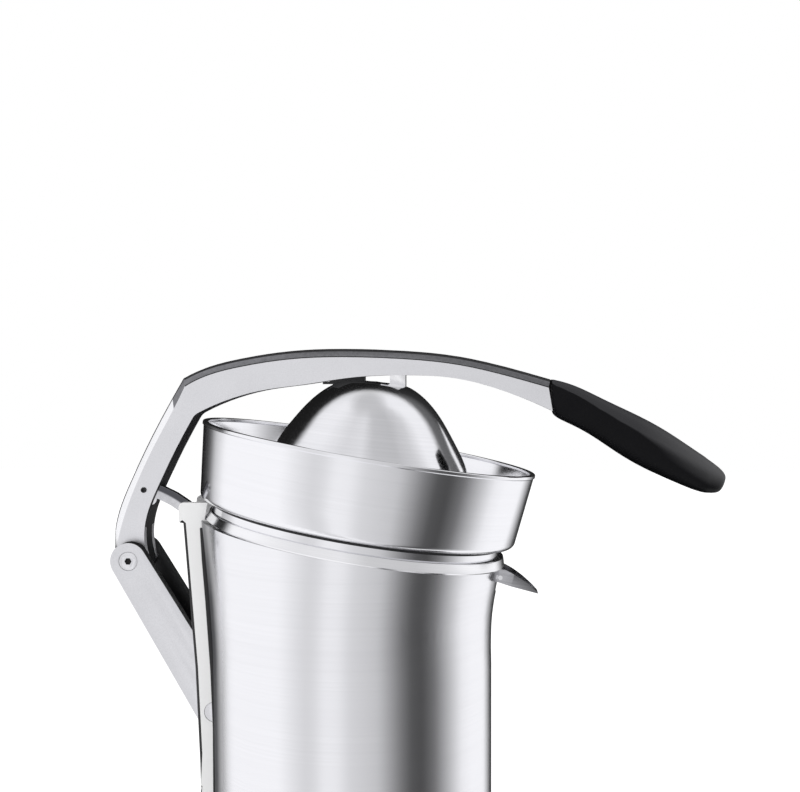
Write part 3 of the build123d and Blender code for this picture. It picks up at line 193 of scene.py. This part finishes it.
lamp("soft_left", (-1.3, -1.2, 1.2), (0, 0, 0.25), 1.2, 1.0)
lamp("soft_top", (0.15, -0.45, 1.8), (0, 0, 0.25), 0.9, 1.6)

# ---------------------------------------------------------------- body shell
# The upright drum is one sheet of stainless steel, rolled, welded at the back and brushed round. Its top
# flares forward into the leaning collar, and its foot stands over the register of the base.
body_of = {name: body for body, names in frame["record"]["behaviour"]["bodies"].items() for name in names}
slot_of = {part["node"]: part["material_slot"] for part in frame["record"]["subparts"]}
dressed = set()
LEAN = radians(9.5)
body_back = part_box("body_shell")[0][0]
body_x = (body_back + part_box("body_shell")[1][0]) / 2
drum_radius = body_x - body_back


def joined_copy(node, name, rounding=0.0, sharp=35, trim=None):
    """A solid's copy to be dressed: triangles joined, edges trimmed, then rounded and shaded smooth."""
    bpy.ops.object.select_all(action="DESELECT")
    piece = nodes[node].copy()
    piece.data = nodes[node].data.copy()
    piece.name = piece.data.name = name
    piece.parent = None
    bpy.context.scene.collection.objects.link(piece)
    piece.data.materials.clear()
    bpy.context.view_layer.objects.active = piece
    piece.select_set(True)
    bpy.ops.mesh.customdata_custom_splitnormals_clear()
    bpy.ops.object.mode_set(mode="EDIT")
    bpy.ops.mesh.select_all(action="SELECT")
    bpy.ops.mesh.remove_doubles(threshold=0.000002)
    if rounding:
        bpy.ops.mesh.dissolve_limited(angle_limit=radians(0.5))
    bpy.ops.object.mode_set(mode="OBJECT")
    if trim:
        trim(piece)
    if rounding:
        edge = piece.modifiers.new("rounding", "BEVEL")
        edge.width = rounding
        edge.segments = 2
        edge.angle_limit = radians(sharp)
        edge.miter_outer = "MITER_ARC"
        bpy.ops.object.modifier_apply(modifier=edge.name)
    bpy.ops.object.shade_smooth_by_angle(angle=radians(sharp))
    return piece


def dress(piece, node, finish):
    """The piece takes a solid's place and its body, and a finish."""
    piece.data.materials.append(finish)
    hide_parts(node)
    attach(piece, body_of[node])
    dressed.add(node)


def effect(name, inputs, outputs):
    """An empty node group with named sockets, and the sockets of its two end nodes."""
    tree = bpy.data.node_groups.new(name, "ShaderNodeTree")
    for socket, kind, value in inputs:
        made = tree.interface.new_socket(name=socket, in_out="INPUT", socket_type="NodeSocket" + kind)
        if value is not None:
            made.default_value = value
    for socket in outputs:
        tree.interface.new_socket(name=socket, in_out="OUTPUT", socket_type="NodeSocketFloat")
    return tree, add(tree, "NodeGroupInput").outputs, add(tree, "NodeGroupOutput").inputs


def noise(tree, place, size, **more):
    """A noise pattern at a place, with its size and what else it is given."""
    inputs = {"Vector": place, "Scale": size, **more}
    return add(tree, "ShaderNodeTexNoise", inputs=inputs).outputs[0]


# Fine hairlines run round an upright axis: long along the brush's way, thin across it.
hairlines, start, end = effect("hairlines", [("Vector", "Vector", None), ("Lines", "Float", 900.0)],
                               ["Tone", "Height"])
stretch = add(hairlines, "ShaderNodeCombineXYZ", inputs={0: 4.0, 1: 4.0, 2: start["Lines"]})
thin = add(hairlines, "ShaderNodeVectorMath", operation="MULTIPLY",
           inputs={0: start["Vector"], 1: stretch.outputs[0]})
fine = noise(hairlines, thin.outputs[0], 1.0, Detail=3.0, Roughness=0.7)
wide = add(hairlines, "ShaderNodeVectorMath", operation="MULTIPLY",
           inputs={0: start["Vector"], 1: (2.0, 2.0, 120.0)})
slow = noise(hairlines, wide.outputs[0], 1.0, Detail=2.0)
both = figure(hairlines, "MULTIPLY_ADD", slow, 0.5, fine)
hairlines.links.new(remap(hairlines, both, (0.45, 1.05)), end["Tone"])
hairlines.links.new(fine, end["Height"])

# Faint clouds left by hands and cloths dull a polish here and there.
smudges, start, end = effect("smudges", [("Vector", "Vector", None), ("Size", "Float", 9.0)], ["Dullness"])
cloud = noise(smudges, start["Vector"], start["Size"], Detail=3.0, Distortion=0.6)
smudges.links.new(remap(smudges, cloud, (0.35, 0.75)), end["Dullness"])


def place_group(tree, group, **inputs):
    """An effect placed in a material with its own values; gives its outputs."""
    return add(tree, "ShaderNodeGroup", node_tree=group, inputs=inputs).outputs


def new_finish(name):
    """An empty finish: its material, its tree and its shader's inputs."""
    finish = bpy.data.materials.new(name)
    finish.use_nodes = True
    return finish, finish.node_tree, finish.node_tree.nodes["Principled BSDF"].inputs


def raised(tree, height, strength):
    """A normal that follows a pattern's height, a fifth of a millimetre deep at full strength."""
    inputs = {"Height": height, "Strength": strength, "Distance": 0.0002}
    return add(tree, "ShaderNodeBump", inputs=inputs).outputs[0]


def brushed(name, light, dark, rough, middle=(0, 0, 0), tilt=0.0, lines=900.0, bump=0.05):
    """Steel with hairlines round an axis through a place, and faint smudges."""
    finish, tree, metal = new_finish(name)
    spot = add(tree, "ShaderNodeTexCoord").outputs["Object"]
    upright = add(tree, "ShaderNodeMapping", vector_type="TEXTURE",
                  inputs={"Vector": spot, "Location": middle, "Rotation": (0.0, tilt, 0.0)})
    grain = place_group(tree, hairlines, Vector=upright.outputs[0], Lines=lines)
    clouds = place_group(tree, smudges, Vector=spot)
    even = remap(tree, grain["Tone"], (0.0, 1.0), (rough + 0.03, rough - 0.02))
    tree.links.new(blend(tree, grain["Tone"], (*dark, 1), (*light, 1)), metal["Base Color"])
    tree.links.new(figure(tree, "MULTIPLY_ADD", clouds["Dullness"], 0.05, even), metal["Roughness"])
    tree.links.new(raised(tree, grain["Height"], bump), metal["Normal"])
    metal["Metallic"].default_value = 1.0
    return finish


# The drum's back leans out a little more toward the collar: (height, how far beyond its rolled radius).
FLARE = ((0.150, 0.0), (0.182, 0.0023), (0.228, 0.0042), (0.265, 0.0050), (0.300, 0.0050))


def flare(z):
    """How far the drum's back leans out at a height, beyond its rolled radius."""
    for (z0, out0), (z1, out1) in zip(FLARE, FLARE[1:]):
        if z0 <= z <= z1:
            return out0 + (out1 - out0) * (z - z0) / (z1 - z0)
    return 0.0


drum = joined_copy("body_shell", "drum_skin", sharp=30)
for corner in drum.data.vertices:
    back = max(0.0, (body_x - corner.co.x) / drum_radius)
    corner.co.x -= flare(corner.co.z) * min(1.0, back) ** 2

# Painted shade darkens and dulls the steel on both sides of the spine, less so under the collar.
SHADE_BAND_SIDES = (0.056, 0.036)
SHADE_BAND_FRONT = body_x - 0.05
SHADE_BAND_HEIGHTS = (0.285, 0.235)
PAINTED_SHADE_TINT = (0.035, 0.036, 0.040, 1)
drum_steel = brushed("brushed_drum", (0.915, 0.915, 0.935), (0.885, 0.885, 0.905), 0.14, bump=0.03)
tree = drum_steel.node_tree
metal = tree.nodes["Principled BSDF"].inputs
spot = add(tree, "ShaderNodeTexCoord").outputs["Object"]
place = add(tree, "ShaderNodeSeparateXYZ", inputs={0: spot}).outputs
near = remap(tree, figure(tree, "ABSOLUTE", place["Y"]), SHADE_BAND_SIDES, step="SMOOTHSTEP")
shade_band = figure(tree, "MULTIPLY", near, figure(tree, "LESS_THAN", place["X"], SHADE_BAND_FRONT))
shade_amount = figure(tree, "MULTIPLY", shade_band, remap(tree, place["Z"], SHADE_BAND_HEIGHTS, (0.75, 1.0)))
bare_colour = metal["Base Color"].links[0].from_socket
bare_rough = metal["Roughness"].links[0].from_socket
tree.links.new(blend(tree, shade_amount, bare_colour, PAINTED_SHADE_TINT), metal["Base Color"])
tree.links.new(figure(tree, "SUBTRACT", 1.0, shade_amount), metal["Metallic"])
tree.links.new(figure(tree, "MULTIPLY_ADD", shade_amount, 0.5, bare_rough), metal["Roughness"])
dress(drum, "body_shell", drum_steel)

# ---------------------------------------------------------------- collar ring
# The collar is a turned and polished stainless ring. It caps the drum, leans with the bowl, and its tongue
# is pressed into the drum's mouth; the spout's gap is milled through it.
collar = joined_copy("collar_ring", "collar_band", sharp=30)
collar_steel = brushed("polished_collar", (0.96, 0.96, 0.97), (0.90, 0.90, 0.92), 0.12, rim_mid, LEAN, 600.0)
dress(collar, "collar_ring", collar_steel)

# ---------------------------------------------------------------- juice bowl
# The bowl is drawn from stainless sheet, with a rolled bead at its rim and a turned-in lower edge. It is
# brushed round its own leaning axis and lifts out of the collar with the filter basket.
bowl = joined_copy("juice_bowl", "leaning_bowl", sharp=30)
bowl_steel = brushed("brushed_bowl", (0.935, 0.935, 0.955), (0.90, 0.90, 0.92), 0.11,
                     rim_mid, LEAN, bump=0.04)
dress(bowl, "juice_bowl", bowl_steel)

# The grain of a blasted, cast or moulded skin: fine pits, and slow mottles of tone.
blast, start, end = effect("blasted_skin", [("Vector", "Vector", None), ("Grain", "Float", 900.0)],
                           ["Tone", "Height"])
pits = noise(blast, start["Vector"], start["Grain"], Detail=2.0, Roughness=0.6)
mottle = noise(blast, start["Vector"], 40.0, Detail=4.0)
both = figure(blast, "MULTIPLY_ADD", mottle, 0.5, pits)
blast.links.new(remap(blast, both, (0.5, 1.0)), end["Tone"])
blast.links.new(pits, end["Height"])


def skin(name, light, dark, rough, metallic, grain=900.0, depth=0.1, specular=0.5):
    """A blasted, cast or moulded skin: fine grain, with slight clouds of tone and dullness."""
    finish, tree, surface = new_finish(name)
    spot = add(tree, "ShaderNodeTexCoord").outputs["Object"]
    texture = place_group(tree, blast, Vector=spot, Grain=grain)
    clouds = place_group(tree, smudges, Vector=spot)
    tree.links.new(blend(tree, texture["Tone"], (*dark, 1), (*light, 1)), surface["Base Color"])
    tree.links.new(figure(tree, "MULTIPLY_ADD", clouds["Dullness"], 0.08, rough - 0.03), surface["Roughness"])
    tree.links.new(raised(tree, texture["Height"], depth), surface["Normal"])
    surface["Metallic"].default_value = metallic
    surface["Specular IOR Level"].default_value = specular
    return finish


def pick(piece, mode, chosen):
    """Enters edit mode with only the chosen corners, edges or faces selected."""
    bpy.ops.object.mode_set(mode="EDIT")
    bpy.ops.mesh.select_mode(type=mode)
    bpy.ops.mesh.select_all(action="DESELECT")
    bpy.ops.object.mode_set(mode="OBJECT")
    elements = {"VERT": piece.data.vertices, "EDGE": piece.data.edges, "FACE": piece.data.polygons}
    for element in elements[mode]:
        element.select = chosen(element)
    bpy.ops.object.mode_set(mode="EDIT")


# A thin black ring sits under the bowl's lower edge, a dark piece put there as painted shade. Its underside
# is pressed flat on the collar.
RING_BELOW_RIM = 0.0510
RING_RADIUS = 0.0948
RING_HALF = 0.0016
# Black rubber for the mat, the feet and the other rubber parts; on the ring under the bowl it is painted
# shade.
rubber_and_painted_shade = skin("rubber_and_painted_shade", (0.022, 0.022, 0.024), (0.014, 0.014, 0.015), 0.62, 0.0, 900.0, 0.2, 0.4)
bowl_axis = Vector((sin(LEAN), 0, cos(LEAN)))
bpy.ops.object.select_all(action="DESELECT")
bpy.ops.mesh.primitive_torus_add(major_radius=RING_RADIUS, minor_radius=RING_HALF, major_segments=160,
                                 minor_segments=10, location=rim_mid + bowl_axis * -RING_BELOW_RIM,
                                 rotation=(0, LEAN, 0))
ring = bpy.context.object
ring.name = ring.data.name = "shade_gap_ring"
pick(ring, "VERT", lambda corner: corner.co.z < -RING_HALF / 2)
bpy.ops.transform.translate(value=bowl_axis * 0.0006)
bpy.ops.object.mode_set(mode="OBJECT")
bpy.ops.object.transform_apply(location=True, rotation=True, scale=True)
bpy.ops.object.shade_smooth_by_angle(angle=radians(60))
ring.data.materials.append(rubber_and_painted_shade)
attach(ring, body_of["juice_bowl"])

# The filter basket is punched stainless sheet that drops into the bowl.
basket = joined_copy("filter_basket", "slotted_basket", sharp=30)
basket_steel = brushed("brushed_basket", (0.85, 0.85, 0.87), (0.74, 0.74, 0.77), 0.25, rim_mid, LEAN)
dress(basket, "filter_basket", basket_steel)

# ---------------------------------------------------------------- dome
# The dome that presses the fruit is spun stainless steel, brushed round, over a moulded black liner with
# six ribs. Two screws hold it under the lever.
dome = joined_copy("dome_shell", "dome_skin", sharp=30)
dome_mid = rim_mid + Vector((0, 0, 0.02))
dome_steel = brushed("brushed_dome", (0.88, 0.88, 0.90), (0.81, 0.81, 0.83), 0.09,
                     dome_mid, radians(6), 700.0)
dress(dome, "dome_shell", dome_steel)

# ---------------------------------------------------------------- lever
# The lever is one aluminium casting, bead-blasted to a satin on its flat sides. Its back takes a brighter
# steel as a painted highlight and its wide top bevel a dark chrome as a painted reflection; the channel that
# takes the strut, the underside and the narrow rounds are painted black as painted shade.
lever_low, lever_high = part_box("press_arm")
knee = lever_low[0] + 0.043


def round_between(piece, width, first, second):
    """Rounds the edges between a face that meets one test of its normal and a face that meets the other."""
    sides = {}
    for face in piece.data.polygons:
        for key in face.edge_keys:
            sides.setdefault(key, []).append(face.normal)

    def between(edge):
        pair = sides.get(edge.key, ())
        return len(pair) == 2 and any(first(a) and second(b) for a, b in (pair, pair[::-1]))

    pick(piece, "EDGE", between)
    bpy.ops.mesh.bevel(offset=width, segments=3, affect="EDGES")
    bpy.ops.object.mode_set(mode="OBJECT")


def bevel_behind(n):
    """Normal of the wide bevel down the lever's back."""
    return 0.5 < abs(n.y) < 0.9 and n.x < -0.4


def bevel_above(n):
    """Normal of the wide bevel along the lever's top."""
    return 0.5 < abs(n.y) < 0.9 and n.z > 0.4


def trim_lever(piece):
    """The bevel meets the lever's back, its top and its cheeks in narrow rounds of its own."""
    round_between(piece, 0.0012, bevel_behind, lambda n: abs(n.y) < 0.1)
    round_between(piece, 0.0022, bevel_above, lambda n: abs(n.y) < 0.1)
    round_between(piece, 0.0010, bevel_above, lambda n: abs(n.y) > 0.98)


def paint_faces(piece, finish, chosen):
    """Gives a further finish to the faces for which chosen(middle, normal) is true."""
    if finish.name not in piece.data.materials:
        piece.data.materials.append(finish)
    number = piece.data.materials.find(finish.name)
    for face in piece.data.polygons:
        if chosen(face.center, face.normal):
            face.material_index = number


def behind(at, n):
    """Whether a face looks back, on the lever's leg."""
    return n.x < -0.12 and at.x < knee


def above(at, n):
    """Whether a face looks up, on the lever's arch."""
    return n.z > 0.12 and at.x > knee - 0.002


satin = skin("satin_aluminium", (0.88, 0.88, 0.90), (0.80, 0.80, 0.82), 0.32, 1.0, 1400.0, 0.12)
# A brighter, smoother steel: the post's own colour, and a painted highlight on the lever's back.
steel_and_painted_highlight = skin("bright_steel_with_highlight", (0.97, 0.97, 0.98), (0.93, 0.93, 0.94), 0.16, 1.0, 500.0, 0.02)
# A dark chrome that is painted reflection, for the lever's top and the strut's top.
painted_dark_reflection = skin("painted_dark_reflection", (0.24, 0.24, 0.25), (0.17, 0.17, 0.18), 0.16, 1.0, 500.0, 0.02)
# Near black: the leg screws' own black, and painted shade in channels, rounds, sockets, joints and under the
# lever.
black_and_painted_shade = skin("black_and_painted_shade", (0.010, 0.010, 0.011), (0.006, 0.006, 0.007), 0.5, 0.0, 500.0, 0.1)
lever = joined_copy("press_arm", "lever_casting", 0.0006, 30, trim_lever)
# The dome mirrors the tent alone: the lever's own image would break up the dark bands at its edges.
lever.visible_glossy = False
dress(lever, "press_arm", satin)
# Each rule goes over the ones before it: back (painted highlight), the rounds beside it, top (painted dark
# reflection), the rounds on either side of its bevel, underside, and the walls of the channel; the rounds,
# underside and channel walls are painted black as painted shade.
paint_faces(lever, steel_and_painted_highlight, lambda at, n: behind(at, n) and abs(n.y) < 0.97)
paint_faces(lever, black_and_painted_shade, lambda at, n: behind(at, n) and at.z > 0.276 and 0.1 < abs(n.y) < 0.75)
paint_faces(lever, painted_dark_reflection, lambda at, n: above(at, n) and abs(n.y) < 0.97)
paint_faces(lever, black_and_painted_shade, lambda at, n: above(at, n) and 0.1 < abs(n.y) < 0.72)
paint_faces(lever, black_and_painted_shade, lambda at, n: above(at, n) and 0.88 < abs(n.y) < 0.97)
paint_faces(lever, black_and_painted_shade, lambda at, n: n.z < -0.10 and n.x > -0.5 and abs(n.y) < 0.97)
paint_faces(lever, black_and_painted_shade, lambda at, n: abs(at.y) < 0.0069 and abs(n.y) > 0.9)

# ---------------------------------------------------------------- dome mount and leg screws
# The dome hangs under the lever on a moulded block behind, painted black as painted shade under the lever,
# and a bright steel post in front. A black socket screw on each side of the lever's leg holds the strut's
# pin.
post_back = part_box("dome_mount")[1][0] - 0.016
SCREW_X, SCREW_Z = -0.1796, 0.3010
SCREW_RADIUS = 0.0018
SOCKET_DEPTH = 0.0009


def part_post(piece):
    """Cuts the mount's faces where the post meets the block, so that each takes its own finish."""
    pick(piece, "FACE", lambda face: True)
    bpy.ops.mesh.bisect(plane_co=(post_back, 0, 0), plane_no=(1, 0, 0))
    bpy.ops.object.mode_set(mode="OBJECT")


mount = joined_copy("dome_mount", "dome_hanger", 0.0006, 35, part_post)
# The block is painted black as painted shade; the post is bright steel.
dress(mount, "dome_mount", black_and_painted_shade)
paint_faces(mount, steel_and_painted_highlight, lambda at, n: at.x > post_back)
for side, name in ((-1, "leg_screw_right"), (1, "leg_screw_left")):
    bpy.ops.object.select_all(action="DESELECT")
    bpy.ops.mesh.primitive_cylinder_add(vertices=32, radius=SCREW_RADIUS, depth=0.0016,
                                        rotation=(radians(90), 0, 0),
                                        location=(SCREW_X, side * (lever_high[1] - 0.0002), SCREW_Z))
    screw = bpy.context.object
    screw.name = screw.data.name = name
    bpy.ops.object.transform_apply(location=True, rotation=True, scale=True)
    pick(screw, "FACE", lambda face: face.normal.y * side > 0.9)
    bpy.ops.mesh.inset(thickness=0.0008)
    bpy.ops.mesh.extrude_region_move(TRANSFORM_OT_translate={"value": (0, -side * SOCKET_DEPTH, 0)})
    bpy.ops.object.mode_set(mode="OBJECT")
    bpy.ops.object.shade_smooth_by_angle(angle=radians(35))
    screw.data.materials.append(black_and_painted_shade)
    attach(screw, body_of["press_arm"])

# ---------------------------------------------------------------- handle grip
# The grip is a matte black elastomer moulded over the lever's tang. Soft facets run along it, and fade into
# its rounded nose. The upward facet carries a painted highlight, lighter toward the nose.
grip_low, grip_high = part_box("handle_grip")
FACET_UP = (0.45, 0.0, 0.89)
PAINTED_HIGHLIGHT_BACK = (0.036, 0.036, 0.039, 1)
PAINTED_HIGHLIGHT_NOSE = (0.085, 0.085, 0.088, 1)


def soften_nose(piece):
    """Evens out the grip's mesh, then melts its nose round and takes the hardness off its facets."""
    piece.data.remesh_voxel_size = 0.0008
    bpy.ops.object.voxel_remesh()
    pick(piece, "VERT", lambda corner: corner.co.x > grip_high.x - 0.014)
    bpy.ops.mesh.vertices_smooth(factor=0.5, repeat=60)
    bpy.ops.mesh.select_all(action="SELECT")
    bpy.ops.mesh.vertices_smooth(factor=0.5, repeat=6)
    bpy.ops.object.mode_set(mode="OBJECT")


grip = joined_copy("handle_grip", "handle_grip_skin", sharp=40, trim=soften_nose)
elastomer = skin("grip_elastomer", (0.004, 0.004, 0.005), (0.002, 0.002, 0.003), 0.42, 0.0, 700.0, 0.15, 0.12)
tree = elastomer.node_tree
grip_colour = tree.nodes["Principled BSDF"].inputs["Base Color"]
spot = add(tree, "ShaderNodeTexCoord").outputs
place = add(tree, "ShaderNodeSeparateXYZ", inputs={0: spot["Object"]}).outputs
upward = add(tree, "ShaderNodeVectorMath", operation="DOT_PRODUCT", inputs={0: spot["Normal"], 1: FACET_UP})
nose = remap(tree, place["X"], (grip_low.x + 0.055, grip_high.x - 0.008))
edge_low = figure(tree, "MULTIPLY_ADD", nose, -0.70, 0.17)
edge_high = figure(tree, "MULTIPLY_ADD", nose, 0.35, 0.27)
facet = remap(tree, upward.outputs["Value"], (edge_low, edge_high), step="SMOOTHSTEP")
# Painted highlight on the upward facet, stronger toward the nose.
nose_highlight = blend(tree, nose, PAINTED_HIGHLIGHT_BACK, PAINTED_HIGHLIGHT_NOSE)
tree.links.new(blend(tree, facet, grip_colour.links[0].from_socket, nose_highlight), grip_colour)
dress(grip, "handle_grip", elastomer)

# ---------------------------------------------------------------- links, strut and pins
# The lower link is a channel-shaped aluminium casting, satin outside, and painted black inside as painted
# shade. The strut is a curved forged bar. The elbow pins have turned, polished heads with a hexagon socket.
link = joined_copy("lower_link", "lower_link_casting", 0.0004, 30)
link_satin = skin("satin_link", (0.88, 0.88, 0.90), (0.78, 0.78, 0.80), 0.32, 1.0, 1400.0, 0.12)
dress(link, "lower_link", link_satin)
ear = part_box("lower_link")[1][1]
# Painted shade: the inside of the channel is black.
paint_faces(link, black_and_painted_shade, lambda at, n: abs(at.y) < ear - 0.0012)

# The strut keeps bright steel along the inside of its bend; along the outside it is painted dark as painted
# shade.
BEND_MIDDLE = (-0.2005, 0.0, 0.2281)
BEND_RADII = (0.0762, 0.0776)
STRUT_PAINTED_SHADE = (0.10, 0.10, 0.11, 1)
strut = joined_copy("upper_link", "strut_bar", 0.0022, 30)
strut_steel = skin("strut_steel", (0.80, 0.80, 0.82), (0.66, 0.66, 0.68), 0.20, 1.0, 300.0, 0.03)
tree = strut_steel.node_tree
forged = tree.nodes["Principled BSDF"].inputs["Base Color"]
spot = add(tree, "ShaderNodeTexCoord").outputs["Object"]
flat = add(tree, "ShaderNodeVectorMath", operation="MULTIPLY_ADD",
           inputs={0: spot, 1: (1, 0, 1), 2: [-measure for measure in BEND_MIDDLE]})
bend = add(tree, "ShaderNodeVectorMath", operation="LENGTH", inputs={0: flat.outputs[0]})
outside = remap(tree, bend.outputs["Value"], BEND_RADII, step="SMOOTHSTEP")
tree.links.new(blend(tree, outside, forged.links[0].from_socket, STRUT_PAINTED_SHADE), forged)
dress(strut, "upper_link", strut_steel)
# The strut's top faces take a painted dark reflection.
paint_faces(strut, painted_dark_reflection, lambda at, n: n.z > 0.1)

# The pins turn in plain bores. Only the elbow's two heads can be seen from the side.
pin_steel = brushed("turned_pins", (0.90, 0.90, 0.92), (0.80, 0.80, 0.82), 0.16, lines=1500.0)
for node in ("elbow_pins", "link_foot_pin", "strut_foot_pin", "strut_eye_pin"):
    dress(joined_copy(node, node + "_turned", 0.0002, 35), node, pin_steel)
elbow_low, elbow_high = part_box("elbow_pins")
elbow_x = (elbow_low.x + elbow_high.x) / 2
elbow_z = (elbow_low.z + elbow_high.z) / 2


def in_socket(at, n):
    """Whether a face of the elbow pins lies in a head's socket: near the axle, below the head's face."""
    return hypot(at.x - elbow_x, at.z - elbow_z) < 0.0030 and abs(at.y) < elbow_high.y - 0.0006


# Painted shade: the elbow heads' sockets are black.
paint_faces(bpy.data.objects["elbow_pins_turned"], black_and_painted_shade, in_socket)

# ---------------------------------------------------------------- spine
# The spine is an aluminium casting with two rails and a web between them, screwed to the base. It is
# polished nearly white and carries both links. The round along each rail's outer back edge is painted
# black as painted shade.
rail_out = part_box("spine_casting")[1][1]
RAIL_ROUND = 0.0022
RAIL_BACK = ((-0.1383, 0.110), (-0.1421, 0.1882), (-0.1498, 0.281))


def on_back(x, z):
    """Whether a point of the spine's side lies on the back line of its rails."""
    for (x0, z0), (x1, z1) in zip(RAIL_BACK, RAIL_BACK[1:]):
        if z0 - 0.001 <= z <= z1 + 0.001:
            return abs(x - x0 - (x1 - x0) * (z - z0) / (z1 - z0)) < 0.0006
    return False


def rail_edge(edge):
    """Whether an edge of the spine is the outer back edge of a rail."""
    ends = [spine.data.vertices[number].co for number in edge.vertices]
    return all(abs(abs(end.y) - rail_out) < 0.0001 and on_back(end.x, end.z) for end in ends)


def on_round(at, n):
    """Whether a face lies on the round of a rail's outer back edge."""
    beside = abs(at.y) > rail_out - RAIL_ROUND - 0.0001 and at.x < -0.134
    return beside and n.x < -0.10 and 0.10 < abs(n.y) < 0.999


spine = joined_copy("spine_casting", "spine_rails")
pick(spine, "EDGE", rail_edge)
bpy.ops.mesh.bevel(offset=RAIL_ROUND, segments=3, affect="EDGES")
bpy.ops.object.mode_set(mode="OBJECT")
bpy.ops.object.shade_smooth_by_angle(angle=radians(30))
spine_polish = skin("polished_spine", (0.98, 0.98, 0.98), (0.96, 0.96, 0.96), 0.25, 0.2, 500.0, 0.03)
dress(spine, "spine_casting", spine_polish)
# Painted shade: the rounds of the rails' back edges are black.
paint_faces(spine, black_and_painted_shade, on_round)

# A black strip lies in the joint between each rail and the drum's rolled edge, a dark piece put there as
# painted shade. It runs from the collar down to the base, along these places (x, z).
SEAM = ((-0.1366, 0.278), (-0.1354, 0.258), (-0.1332, 0.232), (-0.1300, 0.187), (-0.1285, 0.150),
        (-0.1279, 0.036))
STRIP_SECTION = (0.0030, 0.0014)
for side, name in ((-1, "seam_strip_right"), (1, "seam_strip_left")):
    bpy.ops.object.select_all(action="DESELECT")
    bpy.ops.mesh.primitive_cube_add(size=1.0, scale=(*STRIP_SECTION, 0.001),
                                    location=(SEAM[0][0] - 0.0002, side * (rail_out + 0.0006), SEAM[0][1]))
    strip = bpy.context.object
    strip.name = strip.data.name = name
    bpy.ops.object.transform_apply(location=True, rotation=True, scale=True)
    pick(strip, "FACE", lambda face: face.normal.z < -0.9)
    for (x0, z0), (x1, z1) in zip(SEAM, SEAM[1:]):
        bpy.ops.mesh.extrude_region_move(TRANSFORM_OT_translate={"value": (x1 - x0, 0, z1 - z0)})
    bpy.ops.object.mode_set(mode="OBJECT")
    corner = strip.modifiers.new("rounding", "BEVEL")
    corner.width = 0.0004
    corner.segments = 2
    bpy.ops.object.modifier_apply(modifier=corner.name)
    bpy.ops.object.shade_smooth_by_angle(angle=radians(35))
    strip.data.materials.append(black_and_painted_shade)
    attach(strip, body_of["spine_casting"])

# ---------------------------------------------------------------- spout
# The drip stop is a folded stainless beak that tips on two pins and shuts off the last drops when it is
# up. Its sheet is brushed, and coloured darker than the collar's as painted shade.
beak = joined_copy("drip_stop", "spout_beak", 0.0, 30)
beak_steel = brushed("brushed_spout", (0.62, 0.62, 0.64), (0.42, 0.42, 0.44), 0.2, rim_mid, LEAN, 1100.0)
dress(beak, "drip_stop", beak_steel)

# ---------------------------------------------------------------- base, mat and feet
# The base is an aluminium casting with a round toe under the spout. A rubber mat takes the glass, and four
# rubber feet stand in the base plate's corners.
base = joined_copy("base_casting", "base_body", 0.0003, 30)
base_satin = skin("satin_base", (0.80, 0.80, 0.82), (0.70, 0.70, 0.72), 0.30, 1.0, 1400.0, 0.1)
dress(base, "base_casting", base_satin)
for node, name in (("glass_mat", "glass_mat_ribbed"), ("rubber_feet", "feet_pads")):
    dress(joined_copy(node, name, 0.0003, 35), node, rubber_and_painted_shade)

# ---------------------------------------------------------------- parts that stay as they are
# Everything inside, under or behind keeps its solid and gets the finish of its stock: turned steel, bronze,
# nylon, black moulding, enamelled copper, zinc-plated screws and the green board.
moulding = skin("black_moulding", (0.030, 0.030, 0.032), (0.020, 0.020, 0.022), 0.45, 0.0, 600.0, 0.2)
finishes = {
    "tub_plastic": skin("smoked_tub", (0.060, 0.060, 0.065), (0.045, 0.045, 0.048), 0.28, 0.0, 500.0, 0.05),
    "black_plastic": moulding,
    "rubber": rubber_and_painted_shade,
    "pins": pin_steel,
    "screws": skin("zinc_plate", (0.62, 0.62, 0.63), (0.50, 0.50, 0.51), 0.30, 1.0, 900.0, 0.05),
    "shafts": brushed("ground_shafts", (0.70, 0.70, 0.72), (0.58, 0.58, 0.60), 0.25, rim_mid, LEAN, 1500.0),
    "bronze": skin("sintered_bronze", (0.55, 0.37, 0.17), (0.42, 0.27, 0.12), 0.42, 1.0, 1600.0, 0.2),
    "copper": skin("enamelled_copper", (0.62, 0.25, 0.10), (0.45, 0.16, 0.06), 0.30, 1.0, 1200.0, 0.3),
    "gear_plastic": skin("nylon_gears", (0.82, 0.79, 0.70), (0.76, 0.73, 0.64), 0.40, 0.0, 500.0, 0.1),
    "board": skin("board_lacquer", (0.020, 0.130, 0.045), (0.014, 0.100, 0.035), 0.30, 0.0, 300.0, 0.1)}
for name, node in nodes.items():
    if name in dressed:
        continue
    for place in node.material_slots:
        place.material = finishes.get(slot_of[name], moulding)
